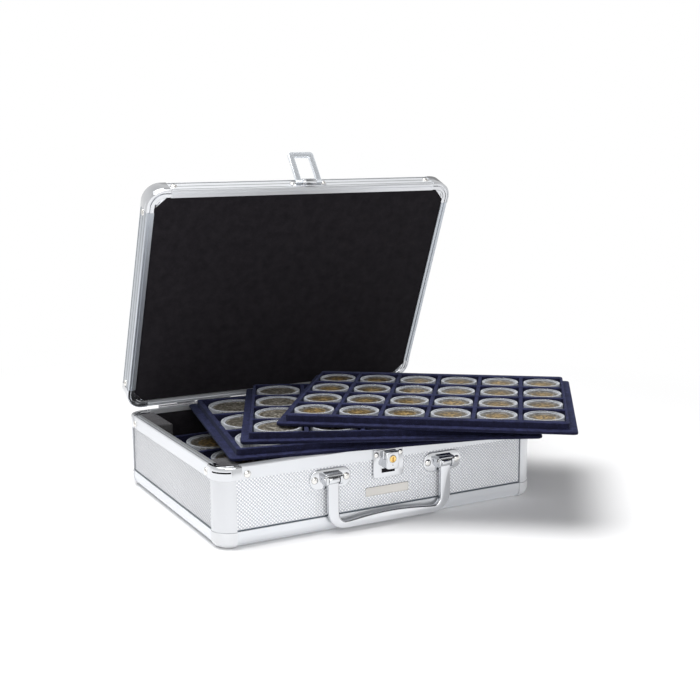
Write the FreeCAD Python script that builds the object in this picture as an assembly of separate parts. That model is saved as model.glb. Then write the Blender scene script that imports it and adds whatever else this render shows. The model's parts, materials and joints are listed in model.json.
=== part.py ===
import FreeCAD, Part
import math
import os

os.makedirs("parts", exist_ok=True)
V = FreeCAD.Vector

# The case
case_width = 290.0
case_depth = 212.0
base_height = 64.0
lid_height = 18.0
lid_open_angle = 67.5
parting_gap = 0.3
foot_drop = 0.5
profile_wall = 1.0
panel_thickness = 4.5
lining_thickness = 1.0
rim_web = 2.0
rim_shelf = 1.5
rim_band = 10.5
corner_size = 15.0
corner_leg = 19.5
corner_proud = 0.4
bottom_band = 13.5
bottom_radius = 8.0
floor_thickness = 4.0
foam_thickness = 11.8
groove_depth = 0.8
groove_width = 1.2
groove_inset = 2.6
tongue_clearance = 0.2
edge_break = 0.8

# Slit in each corner fitting of the base
slit_top_drop = 3.5
slit_height = 1.3
slit_depth = 0.6
slit_start = 2.5
slit_end = 12.0

# Rivets
rivet_radius = 2.9
rivet_crown = 0.62
side_rivet_shift = 1.5
rivet_height = 1.5
small_rivet_radius = 2.3
small_rivet_height = 1.3
rivet_sides = 10
rim_rivet_inset = 24.0
base_rivet_drop = 6.5

# The lid frame
lid_wall = 1.2
lid_hook_height = 6.0
lid_seat = 1.4
lid_slope = 5.0
lid_groove_drop = 3.6
lid_groove_height = 1.2
lid_groove_depth = 0.55
lid_rivet_share = 0.48
lid_top_lip = 13.0
lid_top_bevel = 2.4
lid_panel_thickness = 3.0
lid_lining_recess = 1.0
lid_lining_thickness = 1.6
lid_corner_web = 9.0
base_corner_web = 5.0
base_web_thickness = 1.8

# Hinge
hinge_offset = 1.8
knuckle_radius = 1.7
hinge_pin_radius = 0.85
hinge_clearance = 0.05
knuckle_count = 13
hinge_end_inset = 30.0
knuckle_sides = 12
knuckle_gap = 0.3
leaf_thickness = 1.0
leaf_height = 11.0
leaf_start = 2.1
hinge_rivet_off = 6.6
hinge_rivet_shares = (-0.87, -0.3, 0.3, 0.87)

# Lock and hasp
lock_plate_width = 27.2
lock_plate_height = 23.0
lock_plate_thickness = 1.0
lock_plate_drop = 3.0
lock_plate_corner = 2.2
lock_rivet_drop = 6.8
lock_rivet_inset = 2.7
lock_body_width = 11.6
lock_body_height = 14.2
lock_body_drop = 3.8
lock_slot_width = 12.0
lock_slot_height = 3.2
lock_slot_gap = 0.6
lock_body_thickness = 7.0
lock_body_bevel = 0.9
lock_gap = 0.05
key_drop = 9.6
key_radius = 3.0
key_clearance = 0.05
key_proud = 0.5
key_floor = 1.1
keyway_width = 1.1
keyway_depth = 1.6
keyway_low = 2.0
keyway_high = 1.4
hasp_width = 23.0
hasp_window = 15.2
hasp_reach = 30.0
hasp_thickness = 1.6
hasp_bar = 3.6
hasp_pivot_radius = 1.5
hasp_pivot_out = 3.0
hasp_pivot_up = 5.0
hasp_clip_width = 13.0
hasp_clip_wall = 1.0
hasp_clip_round = 1.4
hasp_corner = 3.0
hasp_clearance = 0.05
hasp_plate_width = 34.8
hasp_plate_low = 1.2
hasp_plate_high = 10.4
hasp_rivet_x = 14.7
hasp_rivet_up = 5.8
hasp_swing = 148.5

# Bare name plate
name_plate_width = 39.4
name_plate_height = 7.2
name_plate_thickness = 0.6
name_plate_drop = 33.0

# Handle
handle_half_width = 56.0
handle_bar = 9.3
handle_thickness = 4.2
handle_bottom = 3.6
handle_grip = 8.6
handle_grip_end = 5.6
handle_pivot_drop = 20.0
handle_pivot_out = 4.9
handle_eye_radius = 3.5
handle_outer_radius = 15.0
handle_inner_radius = 7.0
handle_pin_radius = 1.2
handle_clearance = 0.05
bracket_width = 36.0
bracket_height = 16.0
bracket_thickness = 1.2
bracket_side_gap = 0.35
bracket_ear = 2.2
bracket_lip = 0.3
ear_low = 4.0
ear_face_low = 2.2
ear_slope = 2.0
hood_slope = 1.0
hood_gap = 0.5
hood_thickness = 1.5
pin_end = 0.5
handle_rivet_inset = 4.2

# Trays
tray_room_x = 27.0
tray_room_y = 10.0
tray_height = 7.5
tray_flange = 2.4
tray_step = 6.4
tray_floor = 1.6
tray_gap = 0.05
tray_corner_radius = 3.0
capsule_lift = 0.02
capsule_drop = 0.4
capsule_sides = 16
tray_side_gap = 4.0
foam_side_gap = 1.5
foam_end_gap = 1.0
spacer_drop = 2.0
back_spacer_length = 48.0
front_spacer_length = 30.0

# Columns, rows, side border, end border, bars between columns and rows, capsule diameter
small_layout = (6, 4, 7.0, 12.0, 3.2, 5.2, 32.4)
medium_layout = (5, 4, 7.25, 8.0, 3.4, 3.4, 39.0)
large_layout = (4, 3, 8.8, 9.0, 3.4, 4.4, 49.0)

# Where the fanned trays lie: x and y of the middle, turn in degrees
large_place = (6.5, -20.5, -11.4)
medium_place = (34.6, -37.0, -25.0)
small_place = (75.0, -55.0, -36.7)

half_w = case_width / 2
half_d = case_depth / 2
tray_width = case_width - 2 * tray_room_x
tray_depth = case_depth - 2 * tray_room_y
inner_inset = profile_wall + panel_thickness + lining_thickness
panel_inset = profile_wall
panel_back = profile_wall + panel_thickness
lid_bottom = base_height + parting_gap
lid_top = lid_bottom + lid_height
hinge_y = half_d + hinge_offset
hinge_z = base_height + parting_gap / 2


def block(x0, x1, y0, y1, z0, z1):
    return Part.makeBox(x1 - x0, y1 - y0, z1 - z0, V(x0, y0, z0))


def polygon(points):
    return Part.Face(Part.makePolygon(points + [points[0]]))


def ring(radius, sides, z):
    points = []
    for i in range(sides):
        a = 2 * math.pi * (i + 0.5) / sides
        points.append(V(radius * math.cos(a), radius * math.sin(a), z))
    return points


def rod_x(x0, x1, y, z, radius):
    return Part.makeCylinder(radius, x1 - x0, V(x0, y, z), V(1, 0, 0))


def bar_x(x0, x1, y, z, radius, sides):
    # A many-sided bar whose flats lie at the radius
    points = ring(radius / math.cos(math.pi / sides), sides, 0)
    return polygon([V(x0, y + p.x, z + p.y) for p in points]).extrude(V(x1 - x0, 0, 0))


def mirror_x(shape):
    return shape.mirror(V(0, 0, 0), V(1, 0, 0))


def mirror_y(shape):
    return shape.mirror(V(0, 0, 0), V(0, 1, 0))


def four_corners(shape):
    pair = [shape, mirror_x(shape)]
    return pair + [mirror_y(one) for one in pair]


def group(shapes):
    return Part.makeCompound(shapes)


def save(shape, name):
    shape.exportStep("parts/" + name + ".step")


def front_run(section, half_length):
    # section: (distance in from the front face, height) pairs
    face = polygon([V(-half_length, d - half_d, z) for d, z in section])
    return face.extrude(V(2 * half_length, 0, 0))


def left_run(section, half_length):
    face = polygon([V(d - half_w, -half_length, z) for d, z in section])
    return face.extrude(V(0, 2 * half_length, 0))


def opened(shape):
    turned = shape.copy()
    turned.rotate(V(0, hinge_y, hinge_z), V(1, 0, 0), -lid_open_angle)
    return turned


def corner_region(outset, leg, inner, web):
    # Plan outline of the front left corner, rounded outside, webbed inside
    r = corner_size + outset
    reach = r * math.sqrt(0.5)
    ox = -half_w
    oy = -half_d
    c = corner_size
    arc = Part.Arc(V(ox - outset, oy + c, 0), V(ox + c - reach, oy + c - reach, 0), V(ox + c, oy - outset, 0))
    rest = [V(ox + c, oy - outset, 0)]
    rest.append(V(ox + leg, oy - outset, 0))
    if inner < leg:
        rest.append(V(ox + leg, oy + inner, 0))
        rest.append(V(ox + inner + web, oy + inner, 0))
        if web > 0:
            rest.append(V(ox + inner, oy + inner + web, 0))
        rest.append(V(ox + inner, oy + leg, 0))
    else:
        rest.append(V(ox + leg, oy + leg, 0))
    rest.append(V(ox - outset, oy + leg, 0))
    rest.append(V(ox - outset, oy + c, 0))
    rest = [p for i, p in enumerate(rest) if i == 0 or (p - rest[i - 1]).Length > 1e-6]
    return Part.Face(Part.Wire([arc.toShape()] + Part.makePolygon(rest).Edges))


def corner_prism(outset, leg, inner, web, z0, z1):
    solid = corner_region(outset, leg, inner, web).extrude(V(0, 0, z1 - z0))
    solid.translate(V(0, 0, z0))
    return solid


def rivet(radius, height):
    # A low head with few faces, as there are many of them
    low = ring(radius, rivet_sides, 0)
    high = ring(radius * rivet_crown, rivet_sides, height)
    faces = [polygon(low), polygon(high)]
    for i in range(rivet_sides):
        k = (i + 1) % rivet_sides
        faces.append(polygon([low[i], low[k], high[k], high[i]]))
    return Part.makeSolid(Part.makeShell(faces))


def rivet_front(x, y, z, radius, height):
    one = rivet(radius, height)
    one.rotate(V(0, 0, 0), V(1, 0, 0), 90)
    one.translate(V(x, y, z))
    return one


def rivet_left(x, y, z, radius, height):
    one = rivet(radius, height)
    one.rotate(V(0, 0, 0), V(0, 1, 0), -90)
    one.translate(V(x, y, z))
    return one


# Base panels
panel_low = bottom_radius
panel_high = base_height - rim_web
span_x = half_w - corner_size
span_y = half_d - corner_size
front_panel = block(-span_x, span_x, panel_inset - half_d, panel_back - half_d, panel_low, panel_high)
left_panel = block(panel_inset - half_w, panel_back - half_w, -span_y, span_y, panel_low, panel_high)
floor_low = foot_drop + profile_wall
floor_in_x = half_w - bottom_radius
floor_in_y = half_d - bottom_radius
floor_panel = block(-floor_in_x, floor_in_x, -floor_in_y, floor_in_y, floor_low, floor_low + floor_thickness)
save(front_panel, "base_front_panel")
save(mirror_y(front_panel), "base_back_panel")
save(left_panel, "base_left_panel")
save(mirror_x(left_panel), "base_right_panel")
save(floor_panel, "base_floor_panel")

# Top rim profiles with the groove for the lid
h = base_height
groove_out = groove_inset + groove_width
rim_section = [(0, h - rim_band), (profile_wall, h - rim_band), (profile_wall, h - rim_web)]
shelf_low = h - rim_web - rim_shelf
rim_section += [(panel_back, h - rim_web), (panel_back, shelf_low), (inner_inset, shelf_low)]
rim_section += [(inner_inset, h), (groove_out, h), (groove_out, h - groove_depth)]
rim_section += [(groove_inset, h - groove_depth), (groove_inset, h), (edge_break, h), (0, h - edge_break)]
rim_front = front_run(rim_section, half_w - corner_leg)
rim_left = left_run(rim_section, half_d - corner_leg)
save(rim_front, "base_rim_front")
save(mirror_y(rim_front), "base_rim_back")
save(rim_left, "base_rim_left")
save(mirror_x(rim_left), "base_rim_right")

# Rounded bottom edge profiles
def bottom_profile(along_x):
    low = foot_drop
    r = bottom_radius
    inside = profile_wall
    k = r * (1 - math.sqrt(0.5))

    def at(d, z):
        if along_x:
            return V(-span_x, d - half_d, z)
        return V(d - half_w, -span_y, z)

    arc = Part.Arc(at(0, low + r), at(k, low + k), at(r, low)).toShape()
    rest = [at(r, low), at(bottom_band, low), at(bottom_band, low + inside), at(r, low + inside)]
    rest += [at(inside, r), at(inside, bottom_band), at(0, bottom_band), at(0, low + r)]
    face = Part.Face(Part.Wire([arc] + Part.makePolygon(rest).Edges))
    if along_x:
        return face.extrude(V(2 * span_x, 0, 0))
    return face.extrude(V(0, 2 * span_y, 0))


bottom_front = bottom_profile(True)
bottom_left = bottom_profile(False)
save(bottom_front, "bottom_edge_front")
save(mirror_y(bottom_front), "bottom_edge_back")
save(bottom_left, "bottom_edge_left")
save(mirror_x(bottom_left), "bottom_edge_right")

# Upright corner profiles
post = corner_prism(0, corner_size, panel_back, 0, bottom_band, base_height - rim_band)
posts = four_corners(post)
save(group(posts), "corner_posts")

# Ball corners that stand on the table
ball_reach = corner_size + corner_proud
ball_round = bottom_radius - foot_drop
ball_x = corner_size - half_w
ball_y = corner_size - half_d
ball_outline = [V(ball_x, ball_y, 0), V(ball_x, ball_y, bottom_band)]
ball_outline.append(V(ball_x - ball_reach, ball_y, bottom_band))
for a in (0, 30, 60, 90):
    turn = math.radians(a)
    out = ball_reach - ball_round * (1 - math.cos(turn))
    ball_outline.append(V(ball_x - out, ball_y, ball_round * (1 - math.sin(turn))))
ball = polygon(ball_outline).revolve(V(ball_x, ball_y, 0), V(0, 0, 1), 90)
ball_room = block(panel_back - half_w, 0, panel_back - half_d, 0, floor_low, bottom_band)
ball = ball.cut(ball_room)
save(group(four_corners(ball)), "ball_corners")

# Corner fittings on the rim of the base
fitting = corner_prism(corner_proud, corner_leg, inner_inset, 0, h - rim_band, h)
fitting_web = corner_prism(corner_proud, corner_leg, inner_inset, base_corner_web, h - base_web_thickness, h)
fitting = fitting.fuse(fitting_web).removeSplitter()
fitting_room = block(span_x * -1, 0, panel_inset - half_d, inner_inset - half_d, 0, panel_high)
fitting_room = fitting_room.fuse(block(panel_inset - half_w, inner_inset - half_w, -span_y, 0, 0, panel_high))
inner_room = block(panel_back - half_w, 0, panel_back - half_d, 0, 0, panel_high)
fitting = fitting.cut(fitting_room).cut(inner_room)
slit_high = h - slit_top_drop
slit_low = slit_high - slit_height
slit = corner_prism(corner_proud + 0.1, corner_leg, inner_inset, 0, slit_low, slit_high)
slit_core = corner_prism(corner_proud - slit_depth, corner_leg + 1, inner_inset + 1, 0, slit_low, slit_high)
slit = slit.cut(slit_core)
slit = slit.common(block(slit_start - half_w, slit_end - half_w, -half_d - 1, slit_end - half_d - 3, 0, h))
fitting = fitting.cut(slit)
save(group(four_corners(fitting)), "base_corner_fittings")

# Rivets on the rim of the base
rivet_z = base_height - base_rivet_drop
rim_rivet = rivet_front(half_w - rim_rivet_inset, -half_d, rivet_z, rivet_radius, rivet_height)
side_y = half_d - rim_rivet_inset + side_rivet_shift
side_rivet = rivet_left(-half_w, -side_y, rivet_z, rivet_radius, rivet_height)
save(group(four_corners(rim_rivet) + four_corners(side_rivet)), "base_rivets")

# Lining, foam and spacers inside the base
lining_low = floor_low + floor_thickness
lining_x = half_w - panel_back
lining_y = half_d - panel_back
lining_floor = block(-lining_x, lining_x, -lining_y, lining_y, lining_low, lining_low + lining_thickness)
wall_low = lining_low + lining_thickness
wall_front = block(-lining_x, lining_x, -lining_y, lining_thickness - lining_y, wall_low, shelf_low)
wall_left = block(-lining_x, lining_thickness - lining_x, -lining_y, lining_y, wall_low, shelf_low)
lining_walls = wall_front.fuse([mirror_y(wall_front), wall_left, mirror_x(wall_left)]).removeSplitter()
save(lining_floor, "base_lining_floor")
save(lining_walls, "base_lining_walls")
room_x = half_w - inner_inset
room_y = half_d - inner_inset
foam_low = wall_low
spacer_width = room_x - tray_width / 2 - tray_side_gap
foam_x = tray_width / 2 + tray_side_gap - foam_side_gap
foam_y = room_y - foam_end_gap
foam = block(-foam_x, foam_x, -foam_y, foam_y, foam_low, foam_low + foam_thickness)
save(foam, "base_foam_pad")
spacer_high = base_height - spacer_drop
spacer_in = spacer_width - room_x
back_spacer = block(-room_x, spacer_in, room_y - back_spacer_length, room_y, foam_low, spacer_high)
front_spacer = block(-room_x, spacer_in, -room_y, front_spacer_length - room_y, foam_low, spacer_high)
save(group([back_spacer, mirror_x(back_spacer), front_spacer, mirror_x(front_spacer)]), "tray_spacers")

# Lid frame profiles, built closed and then swung open
b = lid_bottom
t = lid_top
tongue_out = groove_inset + groove_width - tongue_clearance
tongue_in = groove_inset + tongue_clearance
tongue_low = b - groove_depth + tongue_clearance
lid_section = [(edge_break, b), (tongue_in, b), (tongue_in, tongue_low), (tongue_out, tongue_low)]
lid_section.append((tongue_out, b))
hook_high = b + lid_hook_height
seat_high = b + lid_seat
lid_section += [(inner_inset, b), (inner_inset, hook_high), (panel_back, hook_high), (panel_back, seat_high)]
lid_section += [(lid_wall, seat_high), (lid_wall, t - lid_slope), (lid_slope, t - lid_wall)]
lid_section += [(lid_top_lip, t - lid_wall)]
round_steps = ((3.0, 0), (1.6, 0.35), (0.6, 1.2), (0, 2.6))
lid_section += [(lid_top_lip, t)] + [(inward, t - down) for inward, down in round_steps]
groove_high = t - lid_groove_drop
groove_low = groove_high - lid_groove_height
quarter = lid_groove_height / 4
lid_section += [(0, groove_high), (lid_groove_depth, groove_high - quarter)]
lid_section += [(lid_groove_depth, groove_low + quarter), (0, groove_low), (0, b + edge_break)]
lid_front = front_run(lid_section, half_w - corner_leg)
lid_left = left_run(lid_section, half_d - corner_leg)
save(opened(lid_front), "lid_rim_front")
save(opened(mirror_y(lid_front)), "lid_rim_back")
save(opened(lid_left), "lid_rim_left")
save(opened(mirror_x(lid_left)), "lid_rim_right")

# Lid top panel and the black lining inside
top_x = half_w - panel_back
top_y = half_d - panel_back
lid_panel_high = t - lid_wall
lid_panel_low = lid_panel_high - lid_panel_thickness
lid_panel = block(-top_x, top_x, -top_y, top_y, lid_panel_low, lid_panel_high)
save(opened(lid_panel), "lid_top_panel")
web = lid_corner_web
lining_points = []
for sx, sy in ((-1, -1), (1, -1), (1, 1), (-1, 1)):
    along = V(sx * (room_x - web), sy * room_y, 0)
    beside = V(sx * room_x, sy * (room_y - web), 0)
    if sx * sy > 0:
        lining_points += [beside, along]
    else:
        lining_points += [along, beside]
lid_lining = polygon(lining_points).extrude(V(0, 0, lid_lining_thickness))
lid_lining.translate(V(0, 0, b + lid_lining_recess))
save(opened(lid_lining), "lid_lining")

# Corner fittings on the lid
cap = corner_prism(corner_proud, corner_leg, inner_inset, web, b, t)
cap_roof = corner_prism(corner_proud, corner_leg, corner_leg, 0, t - lid_wall, t)
cap = cap.fuse(cap_roof).removeSplitter()
top_arc = [e for e in cap.Edges if min(v.Z for v in e.Vertexes) > t - 1e-6]
top_arc = [e for e in top_arc if e.Curve.TypeId == "Part::GeomCircle"]
cap = cap.makeChamfer(lid_top_bevel, top_arc)
cap = cap.cut(block(-top_x, 0, -top_y, 0, lid_panel_low, lid_panel_high))
save(opened(group(four_corners(cap))), "lid_corner_fittings")

# Rivets on the lid frame
lid_rivet_z = b + lid_height * lid_rivet_share
lid_rivet = rivet_front(half_w - rim_rivet_inset, -half_d, lid_rivet_z, rivet_radius, rivet_height)
lid_side_rivet = rivet_left(-half_w, -side_y, lid_rivet_z, rivet_radius, rivet_height)
save(opened(group(four_corners(lid_rivet) + four_corners(lid_side_rivet))), "lid_rivets")

# Strip hinge along the back
hinge_half = half_w - hinge_end_inset
knuckle_length = 2 * hinge_half / knuckle_count


def knuckles(first):
    tubes = []
    for i in range(first, knuckle_count, 2):
        x0 = -hinge_half + i * knuckle_length + knuckle_gap / 2
        x1 = x0 + knuckle_length - knuckle_gap
        tubes.append((x0, x1))
    return tubes


def leaf(up, first):
    z_root = hinge_z + up * leaf_start
    z_end = hinge_z + up * leaf_height
    low = min(z_root, z_end)
    high = max(z_root, z_end)
    parts = [block(-hinge_half, hinge_half, half_d, half_d + leaf_thickness, low, high)]
    for x0, x1 in knuckles(first):
        parts.append(bar_x(x0, x1, hinge_y, hinge_z, knuckle_radius, knuckle_sides))
        near = min(hinge_z, z_root)
        far = max(hinge_z, z_root)
        parts.append(block(x0, x1, half_d, half_d + leaf_thickness, near, far))
    whole = parts[0].fuse(parts[1:])
    bore_radius = hinge_pin_radius + hinge_clearance
    bore = bar_x(-hinge_half - 1, hinge_half + 1, hinge_y, hinge_z, bore_radius, knuckle_sides)
    return whole.cut(bore)


base_leaf = leaf(-1, 0)
lid_leaf = leaf(1, 1)
hinge_pin = rod_x(-hinge_half, hinge_half, hinge_y, hinge_z, hinge_pin_radius)
save(base_leaf, "hinge_base_leaf")
save(opened(lid_leaf), "hinge_lid_leaf")
save(hinge_pin, "hinge_pin")
leaf_face = half_d + leaf_thickness
base_hinge_rivets = []
lid_hinge_rivets = []
for share in hinge_rivet_shares:
    x = hinge_half * share
    low_one = rivet_front(x, -leaf_face, hinge_z - hinge_rivet_off, small_rivet_radius, small_rivet_height)
    high_one = rivet_front(x, -leaf_face, hinge_z + hinge_rivet_off, small_rivet_radius, small_rivet_height)
    base_hinge_rivets.append(mirror_y(low_one))
    lid_hinge_rivets.append(mirror_y(high_one))
save(group(base_hinge_rivets), "hinge_rivets_base")
save(opened(group(lid_hinge_rivets)), "hinge_rivets_lid")

# Lock on the front of the base
front = -half_d
plate_y = front - lock_plate_thickness
lock_plate_top = base_height - lock_plate_drop
plate_low = lock_plate_top - lock_plate_height
plate_x = lock_plate_width / 2
lock_plate = block(-plate_x, plate_x, plate_y, front, plate_low, lock_plate_top)
lock_back = block(-plate_x, plate_x, front, front + profile_wall, plate_low, h - rim_band)
lock_plate = lock_plate.fuse(lock_back).removeSplitter()
plate_edges = [e for e in lock_plate.Edges if abs(abs(e.CenterOfMass.x) - plate_x) < 1e-6]
plate_edges = [e for e in plate_edges if abs(e.Vertexes[0].Z - e.Vertexes[-1].Z) < 1e-6]
plate_edges = [e for e in plate_edges if e.CenterOfMass.z < plate_low + 0.1]
lock_plate = lock_plate.makeFillet(lock_plate_corner, plate_edges)
body_top = base_height - lock_body_drop
lock_body_bottom = body_top - lock_body_height
slot_top = lock_body_bottom - lock_slot_gap
slot_x = lock_slot_width / 2
slot = block(-slot_x, slot_x, plate_y - 1, front + profile_wall + 1, slot_top - lock_slot_height, slot_top)
lock_plate = lock_plate.cut(slot)
save(lock_plate, "lock_plate")
body_x = lock_body_width / 2
body_y1 = plate_y - lock_gap
body_y0 = body_y1 - lock_body_thickness
lock_body = block(-body_x, body_x, body_y0, body_y1, lock_body_bottom, body_top)
face_edges = [e for e in lock_body.Edges if abs(e.CenterOfMass.y - body_y0) < 1e-6]
lock_body = lock_body.makeChamfer(lock_body_bevel, face_edges)
key_z = base_height - key_drop
key_room_radius = key_radius + key_clearance
key_room = Part.makeCylinder(key_room_radius, lock_body_thickness, V(0, body_y0 - 1, key_z), V(0, 1, 0))
lock_body = lock_body.cut(key_room)
save(lock_body, "lock_body")
key_end = body_y0 - key_proud
key_length = lock_body_thickness + key_proud - key_floor
key = Part.makeCylinder(key_radius, key_length, V(0, key_end, key_z), V(0, 1, 0))
keyway_x = keyway_width / 2
keyway_in = key_end + keyway_depth
keyway = block(-keyway_x, keyway_x, key_end - 1, keyway_in, key_z - keyway_low, key_z + keyway_high)
key = key.cut(keyway)
save(key, "key_cylinder")
lock_rivet_x = plate_x - lock_rivet_inset
lock_rivet_z = base_height - lock_rivet_drop
lock_rivet = rivet_front(lock_rivet_x, plate_y, lock_rivet_z, small_rivet_radius, small_rivet_height)
save(group([lock_rivet, mirror_x(lock_rivet)]), "lock_rivets")

# Bare name plate
panel_face = panel_inset - half_d
name_x = name_plate_width / 2
name_high = base_height - name_plate_drop
name_low = name_high - name_plate_height
name_plate = block(-name_x, name_x, panel_face - name_plate_thickness, panel_face, name_low, name_high)
save(name_plate, "name_plate")

# Handle brackets, bail and pins
arm_x = handle_half_width - handle_bar / 2
pivot_y = front - handle_pivot_out + profile_wall
pivot_z = base_height - handle_pivot_drop


def bracket_at(x):
    half = bracket_width / 2
    r = bracket_height / 2
    y0 = panel_face - bracket_thickness
    mid = block(x - half + r, x + half - r, y0, panel_face, pivot_z - r, pivot_z + r)
    ends = []
    for side in (-1, 1):
        end_x = x + side * (half - r)
        ends.append(Part.makeCylinder(r, bracket_thickness, V(end_x, y0, pivot_z), V(0, 1, 0)))
    plate = mid.fuse(ends).removeSplitter()
    slot_half = handle_bar / 2 + bracket_side_gap
    wide = slot_half + bracket_ear
    out = pivot_y - handle_eye_radius - bracket_lip
    hood_low = pivot_z + handle_eye_radius + hood_gap
    hood_high = hood_low + hood_thickness
    # The cheeks and the hood share one side outline that slopes back to the plate
    ear_bottom = pivot_z - ear_low
    side = [(y0, ear_bottom), (out + ear_slope, ear_bottom), (out, pivot_z - ear_face_low)]
    side += [(out, hood_low), (out + hood_slope, hood_high), (y0, hood_high)]
    shell = polygon([V(x - wide, y, z) for y, z in side]).extrude(V(2 * wide, 0, 0))
    mouth = block(x - slot_half, x + slot_half, out - 1, y0, pivot_z - ear_low - 1, hood_low)
    solid = plate.fuse(shell.cut(mouth)).removeSplitter()
    pin = rod_x(x - slot_half - pin_end, x + slot_half + pin_end, pivot_y, pivot_z, handle_pin_radius)
    return solid.fuse(pin).removeSplitter()


save(group([bracket_at(-arm_x), bracket_at(arm_x)]), "handle_brackets")


def rounded_frame(half_x, z0, z1, radius, y0, y1):
    frame = block(-half_x, half_x, y0, y1, z0, z1)
    low = [e for e in frame.Edges if abs(e.Vertexes[0].Z - z0) < 1e-6 and abs(e.Vertexes[-1].Z - z0) < 1e-6]
    low = [e for e in low if abs(e.Vertexes[0].Y - e.Vertexes[-1].Y) > 1e-6]
    return frame.makeFillet(radius, low)


bar_y0 = pivot_y - handle_thickness / 2
bar_y1 = pivot_y + handle_thickness / 2
bail = rounded_frame(handle_half_width, handle_bottom, pivot_z, handle_outer_radius, bar_y0, bar_y1)
inner_half = handle_half_width - handle_bar
grip_x = inner_half - handle_inner_radius
grip_low = handle_bottom + handle_grip_end
grip_rise = handle_grip - handle_grip_end
window_line = []
for share in (-1, -0.75, -0.4, 0, 0.4, 0.75, 1):
    z = grip_low + grip_rise * math.cos(share * math.pi / 2)
    window_line.append(V(share * grip_x, bar_y0 - 1, z))
for x_share, z_share in ((0.5, 0.134), (0.866, 0.5), (1, 1)):
    x = grip_x + handle_inner_radius * x_share
    z = grip_low + handle_inner_radius * z_share
    window_line.append(V(x, bar_y0 - 1, z))
    window_line.insert(0, V(-x, bar_y0 - 1, z))
window_line.append(V(inner_half, bar_y0 - 1, pivot_z + 5))
window_line.append(V(-inner_half, bar_y0 - 1, pivot_z + 5))
bail = bail.cut(polygon(window_line).extrude(V(0, handle_thickness + 2, 0)))
eyes = []
for side in (-1, 1):
    x0 = side * arm_x - handle_bar / 2
    eyes.append(bar_x(x0, x0 + handle_bar, pivot_y, pivot_z, handle_eye_radius, knuckle_sides))
bail = bail.fuse(eyes)
bore_radius = handle_pin_radius + handle_clearance
bore = bar_x(-handle_half_width - 1, handle_half_width + 1, pivot_y, pivot_z, bore_radius, knuckle_sides)
bail = bail.cut(bore).removeSplitter()
save(bail, "handle_bail")
handle_rivets = []
for side in (-1, 1):
    for off in (-1, 1):
        x = side * arm_x + off * (bracket_width / 2 - handle_rivet_inset)
        y = panel_face - bracket_thickness
        handle_rivets.append(rivet_front(x, y, pivot_z, rivet_radius, rivet_height))
save(group(handle_rivets), "handle_rivets")

# Hasp on the front of the lid
hasp_pivot_y = front - hasp_pivot_out
hasp_pivot_z = b + hasp_pivot_up
hasp_plate_half = hasp_plate_width / 2
hasp_plate = block(-hasp_plate_half, hasp_plate_half, plate_y, front, b + hasp_plate_low, b + hasp_plate_high)
clip_half = hasp_clip_width / 2
clip_reach = hasp_pivot_radius + hasp_clip_wall
clip_out = hasp_pivot_y - clip_reach
clip_low = hasp_pivot_z - clip_reach
clip_high = hasp_pivot_z + clip_reach
clip = block(-clip_half, clip_half, clip_out, plate_y, clip_low, clip_high)
clip_edges = [e for e in clip.Edges if abs(e.CenterOfMass.y - clip_out) < 1e-6 and e.Length > clip_half]
clip = clip.makeFillet(hasp_clip_round, clip_edges)
hasp_plate = hasp_plate.fuse(clip).removeSplitter()
hasp_bore_radius = hasp_pivot_radius + hasp_clearance
hasp_bore = rod_x(-clip_half - 1, clip_half + 1, hasp_pivot_y, hasp_pivot_z, hasp_bore_radius)
hasp_plate = hasp_plate.cut(hasp_bore)
save(opened(hasp_plate), "hasp_plate")
hasp_rivet = rivet_front(hasp_rivet_x, plate_y, b + hasp_rivet_up, small_rivet_radius, small_rivet_height)
save(opened(group([hasp_rivet, mirror_x(hasp_rivet)])), "hasp_rivets")
loop_half = hasp_width / 2
loop_y0 = hasp_pivot_y - hasp_thickness / 2
loop_y1 = hasp_pivot_y + hasp_thickness / 2
loop = block(-loop_half, loop_half, loop_y0, loop_y1, hasp_pivot_z - hasp_reach, hasp_pivot_z)
loop_edges = [e for e in loop.Edges if abs(e.CenterOfMass.z - hasp_pivot_z + hasp_reach) < 1e-6]
loop_edges = [e for e in loop_edges if abs(e.CenterOfMass.x) > loop_half - 0.1]
loop = loop.makeFillet(hasp_corner, loop_edges)
window_half = hasp_window / 2
loop_low = hasp_pivot_z - hasp_reach + hasp_bar
loop = loop.cut(block(-window_half, window_half, loop_y0 - 1, loop_y1 + 1, loop_low, hasp_pivot_z + 5))
loop = loop.fuse(rod_x(-loop_half, loop_half, hasp_pivot_y, hasp_pivot_z, hasp_pivot_radius)).removeSplitter()
loop.rotate(V(0, hasp_pivot_y, hasp_pivot_z), V(1, 0, 0), -hasp_swing)
save(opened(loop), "hasp_loop")


# Trays with their compartments, and the capsules that lie in them
def soft_corner_block(half_x, half_y, radius, z0, z1):
    points = []
    for quarter in range(4):
        sx = 1 if quarter in (0, 3) else -1
        sy = 1 if quarter in (0, 1) else -1
        for a in (0, 30, 60, 90):
            turn = math.radians(a + 90 * quarter)
            x = sx * (half_x - radius) + radius * math.cos(turn)
            y = sy * (half_y - radius) + radius * math.sin(turn)
            points.append(V(x, y, z0))
    return polygon(points).extrude(V(0, 0, z1 - z0))


def pitches(layout):
    columns, rows, border_x, border_y = layout[:4]
    return (tray_width - 2 * border_x) / columns, (tray_depth - 2 * border_y) / rows


def middles(layout):
    columns, rows = layout[:2]
    pitch_x, pitch_y = pitches(layout)
    spots = []
    for i in range(columns):
        for j in range(rows):
            spots.append(((i - (columns - 1) / 2) * pitch_x, (j - (rows - 1) / 2) * pitch_y))
    return spots


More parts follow.
